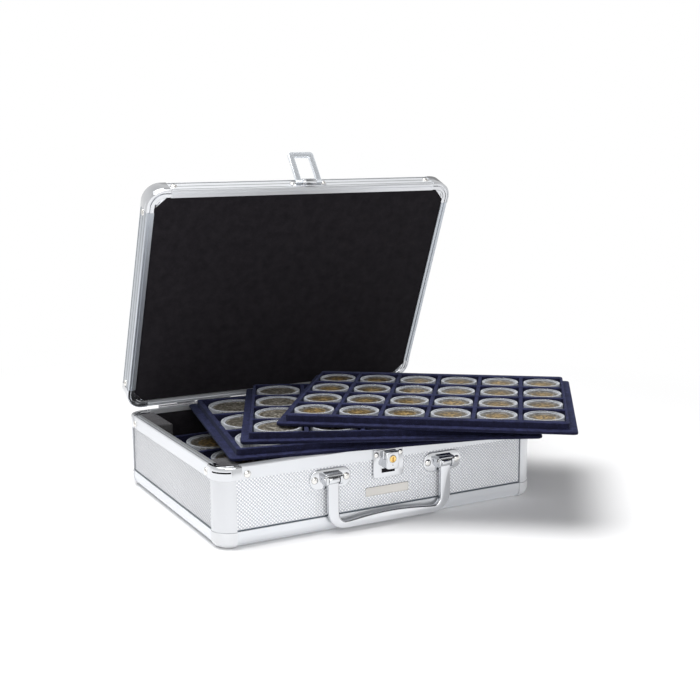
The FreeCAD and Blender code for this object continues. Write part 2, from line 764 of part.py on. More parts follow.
def tray(layout):
    bar_across, bar_along = layout[4:6]
    pitch_x, pitch_y = pitches(layout)
    half_x = tray_width / 2
    half_y = tray_depth / 2
    flange = soft_corner_block(half_x, half_y, tray_corner_radius, 0, tray_flange)
    s = tray_step
    raised = soft_corner_block(half_x - s, half_y - s, tray_corner_radius, tray_flange, tray_height)
    body = flange.fuse(raised).removeSplitter()
    wide = (pitch_x - bar_across) / 2
    deep = (pitch_y - bar_along) / 2
    pockets = []
    for x, y in middles(layout):
        pockets.append(block(x - wide, x + wide, y - deep, y + deep, tray_floor, tray_height + 1))
    return body.cut(group(pockets))


def capsules(layout):
    thickness = tray_height - tray_floor - capsule_drop
    outline = polygon(ring(layout[6] / 2, capsule_sides, tray_floor + capsule_lift))
    disc = outline.extrude(V(0, 0, thickness))
    return group([disc.translated(V(x, y, 0)) for x, y in middles(layout)])


def placed(shape, place, z):
    x, y, angle = place
    moved = shape.copy()
    moved.rotate(V(0, 0, 0), V(0, 0, 1), angle)
    moved.translate(V(x, y, z))
    return moved


small_tray = tray(small_layout)
medium_tray = tray(medium_layout)
large_tray = tray(large_layout)
large_capsules = capsules(large_layout)

pile_step = tray_height + tray_gap
fan_z = base_height + tray_gap
save(placed(large_tray, large_place, fan_z), "tray_large")
save(placed(large_capsules, large_place, fan_z), "capsules_large")
save(placed(medium_tray, medium_place, fan_z + pile_step), "tray_medium")
save(placed(capsules(medium_layout), medium_place, fan_z + pile_step), "capsules_medium")
save(placed(small_tray, small_place, fan_z + 2 * pile_step), "tray_small")
save(placed(capsules(small_layout), small_place, fan_z + 2 * pile_step), "capsules_small")
stow_z = foam_low + foam_thickness + tray_gap
stowed = (0, 0, 0)
save(placed(large_tray, stowed, stow_z + 2 * pile_step), "stowed_tray_upper")
save(placed(large_capsules, stowed, stow_z + 2 * pile_step), "stowed_capsules_upper")
save(placed(large_tray, stowed, stow_z + pile_step), "stowed_tray_middle")
save(placed(large_tray, stowed, stow_z), "stowed_tray_lower")
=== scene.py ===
import bpy
import json
import math
import random
from mathutils import Matrix, Vector


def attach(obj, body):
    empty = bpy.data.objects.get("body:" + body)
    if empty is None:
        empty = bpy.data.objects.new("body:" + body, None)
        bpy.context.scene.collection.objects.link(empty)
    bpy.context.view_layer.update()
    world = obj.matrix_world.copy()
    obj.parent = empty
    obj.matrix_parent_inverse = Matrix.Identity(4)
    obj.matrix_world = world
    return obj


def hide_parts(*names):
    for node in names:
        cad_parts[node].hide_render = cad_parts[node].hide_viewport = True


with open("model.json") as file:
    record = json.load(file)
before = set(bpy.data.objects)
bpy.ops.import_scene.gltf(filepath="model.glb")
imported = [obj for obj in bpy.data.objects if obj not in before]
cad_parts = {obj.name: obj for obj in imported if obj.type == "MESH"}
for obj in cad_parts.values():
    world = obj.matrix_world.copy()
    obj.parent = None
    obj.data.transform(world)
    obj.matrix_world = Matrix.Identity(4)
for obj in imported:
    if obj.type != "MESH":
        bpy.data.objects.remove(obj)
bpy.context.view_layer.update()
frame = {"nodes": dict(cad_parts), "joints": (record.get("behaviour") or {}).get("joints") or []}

mm = 0.001
nodes = frame["nodes"]
print("frame loaded")

# Outer sizes of the case in millimetres, as the frame has them
case = {"halfWidth": 145, "halfDepth": 106, "top": 64, "lidBottom": 64.3, "lidTop": 82.3, "corner": 15,
        "legEnd": 19.5, "inset": 6.5}
lidHinge = next(joint for joint in frame["joints"] if joint["name"] == "lid_hinge")
hingePlace = Vector(lidHinge["pos_m"])
lidOpen = math.radians(lidHinge["range_deg"][0])
lidUp = Matrix.Rotation(lidOpen, 3, "X") @ Vector((0, 0, 1))
lidTurn = Matrix.Translation(hingePlace) @ Matrix.Rotation(lidOpen, 4, "X") @ Matrix.Translation(-hingePlace)


# Modelling steps: every size handed to them is in millimetres
def spot(x, y, z):
    return Vector((x, y, z)) * mm


def pickNone():
    if bpy.context.object and bpy.context.object.mode != "OBJECT":
        bpy.ops.object.mode_set(mode="OBJECT")
    bpy.ops.object.select_all(action="DESELECT")


def makeActive(piece):
    pickNone()
    piece.select_set(True)
    bpy.context.view_layer.objects.active = piece


def traceLine(name, points, fill=True):
    # One point is pulled along the line, and a closed line is filled
    points = [spot(*point) for point in points]
    pickNone()
    bpy.ops.mesh.primitive_plane_add(size=0.001, location=points[0])
    piece = bpy.context.object
    piece.name = name
    bpy.ops.object.transform_apply(location=True, rotation=True, scale=True)
    bpy.ops.object.mode_set(mode="EDIT")
    bpy.ops.mesh.select_mode(type="VERT")
    bpy.ops.mesh.select_all(action="SELECT")
    bpy.ops.mesh.merge(type="CENTER")
    for here, there in zip(points, points[1:]):
        bpy.ops.mesh.extrude_vertices_move(TRANSFORM_OT_translate={"value": there - here})
    bpy.ops.mesh.select_all(action="SELECT")
    if fill:
        bpy.ops.mesh.edge_face_add()
        bpy.ops.mesh.select_mode(type="FACE")
    return piece


def pullOn(x, y, z):
    bpy.ops.mesh.extrude_region_move(TRANSFORM_OT_translate={"value": spot(x, y, z)})


def turnOn(degrees, centre, axis, steps):
    bpy.ops.mesh.spin(steps=steps, angle=-math.radians(degrees), center=spot(*centre), axis=axis)


def closeUp(piece):
    bpy.ops.mesh.select_all(action="SELECT")
    bpy.ops.mesh.remove_doubles(threshold=0.000002)
    bpy.ops.mesh.select_all(action="SELECT")
    bpy.ops.mesh.normals_make_consistent(inside=False)
    bpy.ops.object.mode_set(mode="OBJECT")
    return piece


def pullOutline(name, points, along):
    piece = traceLine(name, points)
    pullOn(*along)
    return closeUp(piece)


def turnRound(name, line, steps):
    # line: (radius, height) pairs, turned once round the z axis
    piece = traceLine(name, [(radius, 0, height) for radius, height in line], fill=False)
    turnOn(360, (0, 0, 0), (0, 0, 1), steps)
    return closeUp(piece)


def arcPoints(centre, radius, start, end, steps):
    points = []
    for step in range(steps + 1):
        angle = math.radians(start + (end - start) * step / steps)
        points.append((centre[0] + radius * math.cos(angle), centre[1] + radius * math.sin(angle)))
    return points


def roundFootLine(half, low, high, rounding, steps=6):
    # Square corners above, round ones below
    line = [(-half, high)] + arcPoints((rounding - half, low + rounding), rounding, 180, 270, steps)
    return line + arcPoints((half - rounding, low + rounding), rounding, 270, 360, steps) + [(half, high)]


def roundEndLine(centre, reach, height, radius, steps):
    line = arcPoints((centre + reach, height), radius, -90, 90, steps)
    return line + arcPoints((centre - reach, height), radius, 90, 270, steps)


def chooseEdges(piece, test):
    makeActive(piece)
    for part in (piece.data.polygons, piece.data.vertices):
        for one in part:
            one.select = False
    for edge in piece.data.edges:
        one, other = (piece.data.vertices[index].co / mm for index in edge.vertices)
        edge.select = bool(test(one, other))
    bpy.ops.object.mode_set(mode="EDIT")
    bpy.ops.mesh.select_mode(type="EDGE")


def chooseFaces(piece, test):
    makeActive(piece)
    for part in (piece.data.vertices, piece.data.edges):
        for one in part:
            one.select = False
    for face in piece.data.polygons:
        face.select = bool(test(face.center / mm, face.normal))
    bpy.ops.object.mode_set(mode="EDIT")
    bpy.ops.mesh.select_mode(type="FACE")


def bevelChosen(width, segments, profile=0.5):
    bpy.ops.mesh.bevel(offset=width * mm, segments=segments, profile=profile, affect="EDGES", clamp_overlap=True)
    bpy.ops.object.mode_set(mode="OBJECT")


def softenEdges(piece, width, segments=2, angle=35):
    makeActive(piece)
    soft = piece.modifiers.new("soften", "BEVEL")
    soft.width = width * mm
    soft.segments = segments
    soft.limit_method = "ANGLE"
    soft.angle_limit = math.radians(angle)
    bpy.ops.object.modifier_apply(modifier=soft.name)


def cutWith(piece, tool):
    makeActive(piece)
    cut = piece.modifiers.new("cut", "BOOLEAN")
    cut.operation = "DIFFERENCE"
    cut.object = tool
    cut.solver = "EXACT"
    bpy.ops.object.modifier_apply(modifier=cut.name)
    bpy.data.objects.remove(tool)


def boxFrom(name, low, high):
    middle = [(a + b) / 2 for a, b in zip(low, high)]
    pickNone()
    bpy.ops.mesh.primitive_cube_add(size=1, location=spot(*middle), scale=[(b - a) * mm for a, b in zip(low, high)])
    piece = bpy.context.object
    piece.name = name
    bpy.ops.object.transform_apply(location=True, rotation=True, scale=True)
    return piece


def rodFrom(name, centre, axis, radius, length, sides):
    turn = {"X": (0, math.pi / 2, 0), "Y": (math.pi / 2, 0, 0), "Z": (0, 0, 0)}[axis]
    pickNone()
    bpy.ops.mesh.primitive_cylinder_add(vertices=sides, radius=radius * mm, depth=length * mm,
                                        location=spot(*centre), rotation=turn)
    piece = bpy.context.object
    piece.name = name
    bpy.ops.object.transform_apply(location=True, rotation=True, scale=True)
    return piece


def joinPieces(name, pieces):
    pickNone()
    for piece in pieces:
        piece.select_set(True)
    bpy.context.view_layer.objects.active = pieces[0]
    if len(pieces) > 1:
        bpy.ops.object.join()
    pieces[0].name = name
    return pieces[0]


def copyPiece(piece, name, matrix):
    twin = piece.copy()
    twin.data = piece.data.copy()
    twin.name = name
    bpy.context.collection.objects.link(twin)
    twin.data.transform(matrix)
    if matrix.determinant() < 0:
        twin.data.flip_normals()
    return twin


def dropPiece(piece):
    bpy.data.objects.remove(piece)


mirrorX = Matrix.Diagonal((-1, 1, 1, 1))
mirrorY = Matrix.Diagonal((1, -1, 1, 1))
faceFront = Matrix.Rotation(math.radians(90), 4, "X")
faceLeft = Matrix.Rotation(math.radians(-90), 4, "Y")


def fourCorners(name, piece):
    twins = [copyPiece(piece, name, mirror) for mirror in (mirrorX, mirrorY, mirrorX @ mirrorY)]
    return joinPieces(name, [piece] + twins)


def settle(piece, body, material, replaced=(), onLid=False, smooth=35):
    # A finished piece gets its place, its finish and its body
    if onLid:
        piece.data.transform(lidTurn)
    makeActive(piece)
    bpy.ops.object.shade_smooth_by_angle(angle=math.radians(smooth))
    piece.data.materials.clear()
    piece.data.materials.append(material)
    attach(piece, body)
    if replaced:
        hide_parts(*replaced)


# Shader groups that several finishes share
def startGroup(name, inputs, outputs):
    # Each input has a number or a vector as its start value, and each output is a number
    group = bpy.data.node_groups.new(name, "ShaderNodeTree")
    for label, value in inputs.items():
        kind = "NodeSocketVector" if isinstance(value, tuple) else "NodeSocketFloat"
        group.interface.new_socket(name=label, in_out="INPUT", socket_type=kind).default_value = value
    for label in outputs:
        group.interface.new_socket(name=label, in_out="OUTPUT", socket_type="NodeSocketFloat")
    return group, group.nodes.new("NodeGroupInput"), group.nodes.new("NodeGroupOutput")


def addNode(tree, kind, **values):
    node = tree.nodes.new(kind)
    for key, value in values.items():
        setattr(node, key, value)
    return node


def feed(tree, socket, value):
    if isinstance(value, bpy.types.NodeSocket):
        tree.links.new(value, socket)
    elif isinstance(value, tuple) and len(value) == 3 and socket.type == "RGBA":
        socket.default_value = (*value, 1)
    else:
        socket.default_value = value


def maths(tree, operation, *values, clamp=False):
    node = addNode(tree, "ShaderNodeMath", operation=operation, use_clamp=clamp)
    for socket, value in zip(node.inputs, values):
        feed(tree, socket, value)
    return node.outputs[0]


def spreadRange(tree, value, low, high, toLow=0.0, toHigh=1.0, smooth=False):
    node = addNode(tree, "ShaderNodeMapRange", interpolation_type="SMOOTHSTEP" if smooth else "LINEAR")
    for label, amount in zip(("Value", "From Min", "From Max", "To Min", "To Max"), (value, low, high, toLow, toHigh)):
        feed(tree, node.inputs[label], amount)
    return node.outputs["Result"]


def noiseOf(tree, vector, scale, detail=2.0, rough=0.5):
    node = addNode(tree, "ShaderNodeTexNoise")
    for label, value in (("Vector", vector), ("Scale", scale), ("Detail", detail), ("Roughness", rough)):
        feed(tree, node.inputs[label], value)
    return node.outputs["Fac"]


def objectPlace(tree):
    return tree.nodes.new("ShaderNodeTexCoord").outputs["Object"]


def splitParts(tree, vector):
    node = tree.nodes.new("ShaderNodeSeparateXYZ")
    tree.links.new(vector, node.inputs[0])
    return node.outputs


def reachAlong(tree, vector, axis):
    node = addNode(tree, "ShaderNodeVectorMath", operation="DOT_PRODUCT")
    for socket, value in zip(node.inputs, (vector, axis)):
        feed(tree, socket, value)
    return node.outputs["Value"]


def blendColours(tree, factor, first, second):
    node = addNode(tree, "ShaderNodeMix", data_type="RGBA")
    feed(tree, node.inputs["Factor"], factor)
    feed(tree, node.inputs[6], first)
    feed(tree, node.inputs[7], second)
    return node.outputs[2]


def buildDrawnLines():
    # Fine lines drawn along one direction, as an extrusion or a brush leaves them
    group, start, end = startGroup("drawnLines", {"Stretch": (1, 1, 1), "Fine": 900.0}, ("Height", "Cloud"))
    place = objectPlace(group)
    scaled = addNode(group, "ShaderNodeVectorMath", operation="MULTIPLY")
    group.links.new(place, scaled.inputs[0])
    group.links.new(start.outputs["Stretch"], scaled.inputs[1])
    group.links.new(noiseOf(group, scaled.outputs[0], start.outputs["Fine"], 3.0, 0.6), end.inputs["Height"])
    group.links.new(noiseOf(group, place, 14.0, 3.0, 0.55), end.inputs["Cloud"])
    return group


def buildHandlingMarks():
    # Soft smudges and a little dust, from use
    group, start, end = startGroup("handlingMarks", {"Size": 30.0, "Amount": 0.3}, ("Mask", "Specks"))
    place = objectPlace(group)
    smudge = spreadRange(group, noiseOf(group, place, start.outputs["Size"], 3.0, 0.5), 0.35, 0.75, smooth=True)
    group.links.new(maths(group, "MULTIPLY", smudge, start.outputs["Amount"], clamp=True), end.inputs["Mask"])
    group.links.new(spreadRange(group, noiseOf(group, place, 2600.0), 0.66, 0.74), end.inputs["Specks"])
    return group


def buildCoinRelief():
    # Raised rim, beads, a ring of leaves and a plain rosette, drawn round the middle of each disc
    results = ("Height", "Radius", "Worn", "Tone", "Tarnish")
    group, start, end = startGroup("coinRelief", {"Wear": 9.0, "Spots": 420.0}, results)
    kind, face = (addNode(group, "ShaderNodeUVMap", uv_map=layer).outputs[0] for layer in ("coinKind", "coinFace"))
    kind = splitParts(group, kind)
    petalCount = maths(group, "ROUND", maths(group, "MULTIPLY_ADD", kind[0], 6.0, 5.0))
    across, along = (maths(group, "SUBTRACT", part, 0.5) for part in splitParts(group, face)[:2])
    squares = maths(group, "ADD", maths(group, "MULTIPLY", across, across), maths(group, "MULTIPLY", along, along))
    radius = maths(group, "MULTIPLY", maths(group, "SQRT", squares), 2.0)
    angle = maths(group, "ARCTAN2", along, across)

    def band(low, high, soft=0.02):
        rise = spreadRange(group, radius, low, low + soft, smooth=True)
        fall = spreadRange(group, radius, high - soft, high, 1.0, 0.0, smooth=True)
        return maths(group, "MULTIPLY", rise, fall)

    def wave(count, shift=0.0):
        turned = maths(group, "ADD", maths(group, "MULTIPLY", angle, count), shift)
        return spreadRange(group, maths(group, "COSINE", turned), -0.4, 0.6, smooth=True)

    rim = band(0.93, 1.2)
    beads = maths(group, "MULTIPLY", band(0.86, 0.92), wave(60.0))
    line = band(0.79, 0.82)
    slant = maths(group, "MULTIPLY", radius, 16.0)
    leaves = maths(group, "MULTIPLY", band(0.60, 0.77), wave(18.0, slant))
    petals = wave(petalCount)
    reach = maths(group, "ADD", maths(group, "MULTIPLY", petals, 0.22), 0.28)
    flower = spreadRange(group, maths(group, "SUBTRACT", reach, radius), 0.0, 0.06, smooth=True)
    veins = maths(group, "MULTIPLY", wave(maths(group, "MULTIPLY", petalCount, 3.0)), 0.4)
    flower = maths(group, "MULTIPLY", flower, maths(group, "ADD", veins, 0.6))
    middle = spreadRange(group, radius, 0.10, 0.13, 1.0, 0.0, smooth=True)
    height = rim
    for share, one in ((0.7, beads), (0.6, line), (0.7, leaves), (0.9, flower), (0.5, middle)):
        height = maths(group, "MAXIMUM", height, maths(group, "MULTIPLY", one, share))
    rub = noiseOf(group, face, start.outputs["Wear"], 4.0, 0.65)
    height = maths(group, "MULTIPLY", height, spreadRange(group, rub, 0.3, 0.6, 0.45, 1.0))
    spots = noiseOf(group, objectPlace(group), start.outputs["Spots"], 3.0, 0.6)
    tarnish = spreadRange(group, spots, 0.38, 0.60, 0.0, 0.85, smooth=True)
    tone = spreadRange(group, kind[1], 0.0, 1.0, 0.55, 1.0)
    for label, value in zip(results, (height, radius, rub, tone, tarnish)):
        group.links.new(value, end.inputs[label])
    return group


# Embossed sheet: pitch of its diamonds, tones that darken the grooves (painted shade), the painted shadow line where it
# slips into its frame, and the side panels' painted shade, in millimetres
sheet = {"pitch": 2.85, "low": (0.42, 0.44, 0.49), "high": (1.0, 1.0, 1.0), "recessShadowTone": (0.05, 0.07, 0.09),
         "recessShadowWidth": 0.8, "bottomShadowLine": 14.3, "frontShadowLine": 129.6, "sideShadowLine": 90.4, "noShadowLine": 1000.0, "sideShade": 0.77,
         "relief": 0.42}


def buildDiamonds():
    # Small raised diamonds between crossing grooves, on the plane of two axes, and a painted shadow line in the gap
    # beside them
    inputs = {"Across": (1, 0, 0), "Up": (0, 0, 1), "Bottom Gap": -1.0, "Side Gap": 1.0}
    group, start, end = startGroup("diamonds", inputs, ("Height", "Gap"))
    across, up = (reachAlong(group, objectPlace(group), start.outputs[label]) for label in ("Across", "Up"))
    relief = 1.0
    for sign in (1.0, -1.0):
        slanted = maths(group, "MULTIPLY_ADD", up, sign, across)
        wave = maths(group, "SINE", maths(group, "MULTIPLY", slanted, 2 * math.pi / (sheet["pitch"] * mm)))
        relief = maths(group, "MULTIPLY", relief, spreadRange(group, wave, -1.0, 1.0))
    width = sheet["recessShadowWidth"] * mm
    bottom, side = start.outputs["Bottom Gap"], start.outputs["Side Gap"]
    # Painted shadow: a dark band at the bottom and at the far side, where the sheet meets its frame
    low = spreadRange(group, up, bottom, maths(group, "ADD", bottom, width), 0.95, 0.0, smooth=True)
    far = spreadRange(group, across, maths(group, "SUBTRACT", side, width), side, 0.0, 0.85, smooth=True)
    group.links.new(relief, end.inputs["Height"])
    group.links.new(maths(group, "MAXIMUM", low, far), end.inputs["Gap"])
    return group


def buildShortPile():
    # Clumped fibres of flock, felt or foam
    group, start, end = startGroup("shortPile", {"Scale": 2000.0}, ("Fibres", "Light"))
    place = objectPlace(group)
    fibres = noiseOf(group, place, start.outputs["Scale"], 3.0, 0.7)
    clumps = noiseOf(group, place, maths(group, "DIVIDE", start.outputs["Scale"], 12.0), 3.0, 0.6)
    group.links.new(fibres, end.inputs["Fibres"])
    group.links.new(spreadRange(group, maths(group, "MULTIPLY", fibres, clumps), 0.12, 0.40), end.inputs["Light"])
    return group


# Painted shade in the grooves of the lid's frame, in millimetres over the table with the lid closed
frameGrooveShade = {"heights": (78.4, 72.4, 67.0), "half": 0.3, "soft": 0.6, "depth": 0.9, "tone": (0.10, 0.11, 0.12)}


def buildLidGrooveShade():
    # Thin dark lines of painted shade round the lid's frame, where its grooves are; heights are read along the turned
    # lid
    group, start, end = startGroup("lidGrooveShade", {"Depth": 1.0}, ("Mask",))
    height = reachAlong(group, objectPlace(group), lidUp)
    above = maths(group, "SUBTRACT", height, hingePlace.dot(lidUp) - hingePlace.z)
    mask = 0.0
    for level in frameGrooveShade["heights"]:
        away = maths(group, "ABSOLUTE", maths(group, "SUBTRACT", above, level * mm))
        line = spreadRange(group, away, frameGrooveShade["half"] * mm, frameGrooveShade["soft"] * mm, 1.0, 0.0, smooth=True)
        mask = maths(group, "MAXIMUM", mask, line)
    group.links.new(maths(group, "MULTIPLY", mask, start.outputs["Depth"]), end.inputs["Mask"])
    return group


drawnLines = buildDrawnLines()
handlingMarks = buildHandlingMarks()
coinRelief = buildCoinRelief()
diamonds = buildDiamonds()
shortPile = buildShortPile()
lidGrooveShade = buildLidGrooveShade()


def placeGroup(tree, group, **values):
    node = addNode(tree, "ShaderNodeGroup", node_tree=group)
    for key, value in values.items():
        feed(tree, node.inputs[key.replace("_", " ")], value)
    return node


def startMaterial(name, **values):
    material = bpy.data.materials.new(name)
    material.use_nodes = True
    shader = material.node_tree.nodes["Principled BSDF"]
    for key, value in values.items():
        feed(material.node_tree, shader.inputs[key.replace("_", " ")], value)
    return material, material.node_tree, shader


def dressShader(tree, shader, height, distance, strength, tone=None, rough=None):
    for label, value in (("Base Color", tone), ("Roughness", rough)):
        if value:
            tree.links.new(value, shader.inputs[label])
    bump = addNode(tree, "ShaderNodeBump")
    bump.inputs["Strength"].default_value = strength
    bump.inputs["Distance"].default_value = distance * mm
    tree.links.new(height, bump.inputs["Height"])
    tree.links.new(bump.outputs["Normal"], shader.inputs["Normal"])


def metalFinish(name, dark, light, rough, stretch, fine, lineHeight, smudge=0.05, body=1.0):
    # Metal with drawn lines, cloudy tone and finger marks
    material, tree, shader = startMaterial(name, Metallic=body)
    lines = placeGroup(tree, drawnLines, Stretch=stretch, Fine=fine)
    marks = placeGroup(tree, handlingMarks, Size=26.0, Amount=0.5)
    tone = blendColours(tree, lines.outputs["Cloud"], dark, light)
    worn = maths(tree, "MULTIPLY_ADD", marks.outputs["Mask"], smudge, rough)
    dressShader(tree, shader, lines.outputs["Height"], lineHeight, 0.6, tone, worn)
    return material


def addLidGrooveShade(material):
    # Painted shade: dark lines where the frame's grooves are
    tree = material.node_tree
    shader = tree.nodes["Principled BSDF"]
    mask = placeGroup(tree, lidGrooveShade, Depth=frameGrooveShade["depth"]).outputs["Mask"]
    base = shader.inputs["Base Color"].links[0].from_socket
    tree.links.new(blendColours(tree, mask, base, frameGrooveShade["tone"]), shader.inputs["Base Color"])
    return material


alongX, alongY, alongZ, anyWay = (0.02, 1, 1), (1, 0.02, 1), (1, 1, 0.02), (1, 1, 1)


def aluminiumFinish(name, along, dark=(0.60, 0.615, 0.64), light=(0.65, 0.665, 0.69), rough=0.34):
    return metalFinish(name, dark, light, rough, along, 1400.0, 0.003, body=0.75)


aluminiumX = aluminiumFinish("aluminiumAcross", alongX)
aluminiumY = aluminiumFinish("aluminiumDeep", alongY)
# The corner posts' copy is darker than the other aluminium, a painted shade
aluminiumZShaded = aluminiumFinish("aluminiumUprightShaded", alongZ, (0.555, 0.565, 0.585), (0.60, 0.61, 0.63))
# The lid frame's front and back copy is lighter than the base's aluminium, a painted light
lidFrameXLit = addLidGrooveShade(aluminiumFinish("lidFrameAcrossLit", alongX, (0.66, 0.675, 0.70), (0.71, 0.725, 0.75)))
# The lid frame's left and right copy is darker, a painted shade
lidFrameYShaded = addLidGrooveShade(aluminiumFinish("lidFrameDeepShaded", anyWay, (0.40, 0.43, 0.47), (0.58, 0.61, 0.65), 0.30))
chromePlate = metalFinish("chromePlate", (0.52, 0.53, 0.55), (0.59, 0.60, 0.62), 0.06, anyWay, 160.0, 0.006, 0.03)
# The hasp loop's plating is a lighter, bluer copy of the chrome, a painted light
loopSteelLit = metalFinish("loopSteelLit", (0.70, 0.74, 0.79), (0.80, 0.83, 0.87), 0.24, anyWay, 90.0, 0.004, 0.04, body=0.7)
rivetSteel = metalFinish("rivetSteel", (0.58, 0.57, 0.55), (0.68, 0.67, 0.65), 0.05, anyWay, 400.0, 0.004, 0.04)
hingeSteel = metalFinish("hingeSteel", (0.52, 0.52, 0.54), (0.66, 0.66, 0.68), 0.25, alongX, 900.0, 0.02)
keyBrass = metalFinish("keyBrass", (0.62, 0.42, 0.14), (0.80, 0.60, 0.26), 0.16, anyWay, 500.0, 0.01)
plateSatin = metalFinish("plateSatin", (0.42, 0.405, 0.385), (0.58, 0.565, 0.54), 0.28, alongX, 1200.0, 0.01)


def sheetFinish(name, across, up, bottomShadowLine, sideShadowLine, shade=1.0):
    # Embossed sheet: painted shade darkens the grooves between the diamonds, and a painted shadow lies in the gap where
    # it slips into its frame
    material, tree, shader = startMaterial(name, Metallic=0.45)
    relief = placeGroup(tree, diamonds, Across=across, Up=up, Bottom_Gap=bottomShadowLine * mm, Side_Gap=sideShadowLine * mm)
    marks = placeGroup(tree, handlingMarks, Size=18.0, Amount=0.4)
    low, high = (tuple(shade * part for part in sheet[key]) for key in ("low", "high"))
    # Painted shade: the grooves between the diamonds are darker than their tops
    tone = blendColours(tree, maths(tree, "POWER", relief.outputs["Height"], 0.45), low, high)
    tone = blendColours(tree, maths(tree, "MULTIPLY", marks.outputs["Mask"], 0.3), tone, (0.74, 0.75, 0.77))
    # Painted shadow along the frame's edge
    tone = blendColours(tree, relief.outputs["Gap"], tone, sheet["recessShadowTone"])
    worn = maths(tree, "MULTIPLY_ADD", marks.outputs["Mask"], 0.1, 0.32)
    dressShader(tree, shader, relief.outputs["Height"], sheet["relief"], 0.9, tone, worn)
    return material


panelFront = sheetFinish("panelFront", (1, 0, 0), (0, 0, 1), sheet["bottomShadowLine"], sheet["frontShadowLine"])
# The side panels are a darker copy of the same sheet, a painted shade
panelSide = sheetFinish("panelSide", (0, 1, 0), (0, 0, 1), sheet["bottomShadowLine"], sheet["sideShadowLine"], sheet["sideShade"])
panelTop = sheetFinish("panelTop", (1, 0, 0), (0, 1, 0), -sheet["noShadowLine"], sheet["noShadowLine"])


def fabricFinish(name, dark, light, scale, depth, sheen, tint, wall=0.0):
    # Short pile with a few specks of dust, and painted shade on steep walls where wall is set
    material, tree, shader = startMaterial(name, Roughness=0.95, Specular_IOR_Level=0.2, Sheen_Weight=sheen,
                                           Sheen_Roughness=0.4, Sheen_Tint=tint)
    pile = placeGroup(tree, shortPile, Scale=scale)
    marks = placeGroup(tree, handlingMarks, Size=22.0, Amount=0.35)
    tone = blendColours(tree, pile.outputs["Light"], dark, light)
    if wall:  # painted shade: steep walls are darkened by their world normal, as if less lit than the tops
        upright = splitParts(tree, addNode(tree, "ShaderNodeNewGeometry").outputs["Normal"])[2]
        wallShadeMask = spreadRange(tree, maths(tree, "ABSOLUTE", upright), 0.15, 0.85, wall, 0.0, smooth=True)
        tone = blendColours(tree, wallShadeMask, tone, dark)
    tone = blendColours(tree, marks.outputs["Specks"], tone, tuple(min(1, c * 2.0 + 0.01) for c in light))
    dressShader(tree, shader, pile.outputs["Fibres"], depth, 0.8, tone)
    return material


# The trays' flock paints shade on its steep walls (wall=0.75)
navyFlock = fabricFinish(
    "navyFlock", (0.002, 0.002, 0.011), (0.026, 0.030, 0.092), 2400.0, 0.25, 0.08, (0.5, 0.6, 0.95), wall=0.75)
blackLining = fabricFinish(
    "blackLining", (0.005, 0.004, 0.006), (0.014, 0.012, 0.015), 1600.0, 0.08, 0.05, (0.6, 0.6, 0.65))
greyFelt = fabricFinish(
    "greyFelt", (0.022, 0.021, 0.023), (0.07, 0.068, 0.07), 1500.0, 0.3, 0.3, (0.8, 0.8, 0.85))
blackFoam = fabricFinish(
    "blackFoam", (0.006, 0.006, 0.006), (0.02, 0.02, 0.02), 900.0, 0.4, 0.1, (0.7, 0.7, 0.7))


def mouldedFinish(name, dark, light, rough):
    # Smooth plastic with a darker seam along the top of the foot corners
    material, tree, shader = startMaterial(name)
    marks = placeGroup(tree, handlingMarks, Size=24.0, Amount=0.4)
    seam = spreadRange(tree, splitParts(tree, objectPlace(tree))[2], 12.9 * mm, 13.3 * mm, 0.0, 0.65)
    tone = blendColours(tree, seam, blendColours(tree, marks.outputs["Mask"], light, dark), (0.10, 0.11, 0.13))
    worn = maths(tree, "MULTIPLY_ADD", marks.outputs["Mask"], 0.15, rough)
    dressShader(tree, shader, noiseOf(tree, objectPlace(tree), 2200.0), 0.006, 0.4, tone, worn)
    return material


cornerPlastic = mouldedFinish("cornerPlastic", (0.65, 0.66, 0.68), (0.73, 0.74, 0.76), 0.2)


def capsuleRimFinish():
    # Clear moulded wall: whiter towards its edges, and what lies behind shows through its faces
    material, tree, shader = startMaterial("capsuleRim", Roughness=0.12)
    marks = placeGroup(tree, handlingMarks, Size=60.0, Amount=0.5)
    tone = blendColours(tree, marks.outputs["Mask"], (0.70, 0.73, 0.78), (0.56, 0.59, 0.64))
    facing = addNode(tree, "ShaderNodeLayerWeight")
    facing.inputs["Blend"].default_value = 0.35
    tree.links.new(spreadRange(tree, facing.outputs["Facing"], 0.0, 0.8, 0.16, 0.92), shader.inputs["Alpha"])
    dressShader(tree, shader, noiseOf(tree, objectPlace(tree), 300.0), 0.05, 0.3, tone)
    return material


def capsuleWindowFinish():
    # A thin clear sheet: only its mirror image of the room shows, more of it at a low angle
    material, tree, shader = startMaterial("capsuleWindow", Metallic=1.0, Base_Color=(0.95, 0.97, 1.0))
    mirrored = addNode(tree, "ShaderNodeFresnel")
    mirrored.inputs["IOR"].default_value = 1.09
    under = addNode(tree, "ShaderNodeNewGeometry")
    seen = maths(tree, "SUBTRACT", 1.0, under.outputs["Backfacing"])
    tree.links.new(maths(tree, "MULTIPLY", mirrored.outputs[0], seen), shader.inputs["Alpha"])
    marks = placeGroup(tree, handlingMarks, Size=90.0, Amount=0.5)
    worn = maths(tree, "MULTIPLY_ADD", marks.outputs["Mask"], 0.1, 0.03)
    dressShader(tree, shader, noiseOf(tree, objectPlace(tree), 60.0), 0.02, 0.3, rough=worn)
    return material


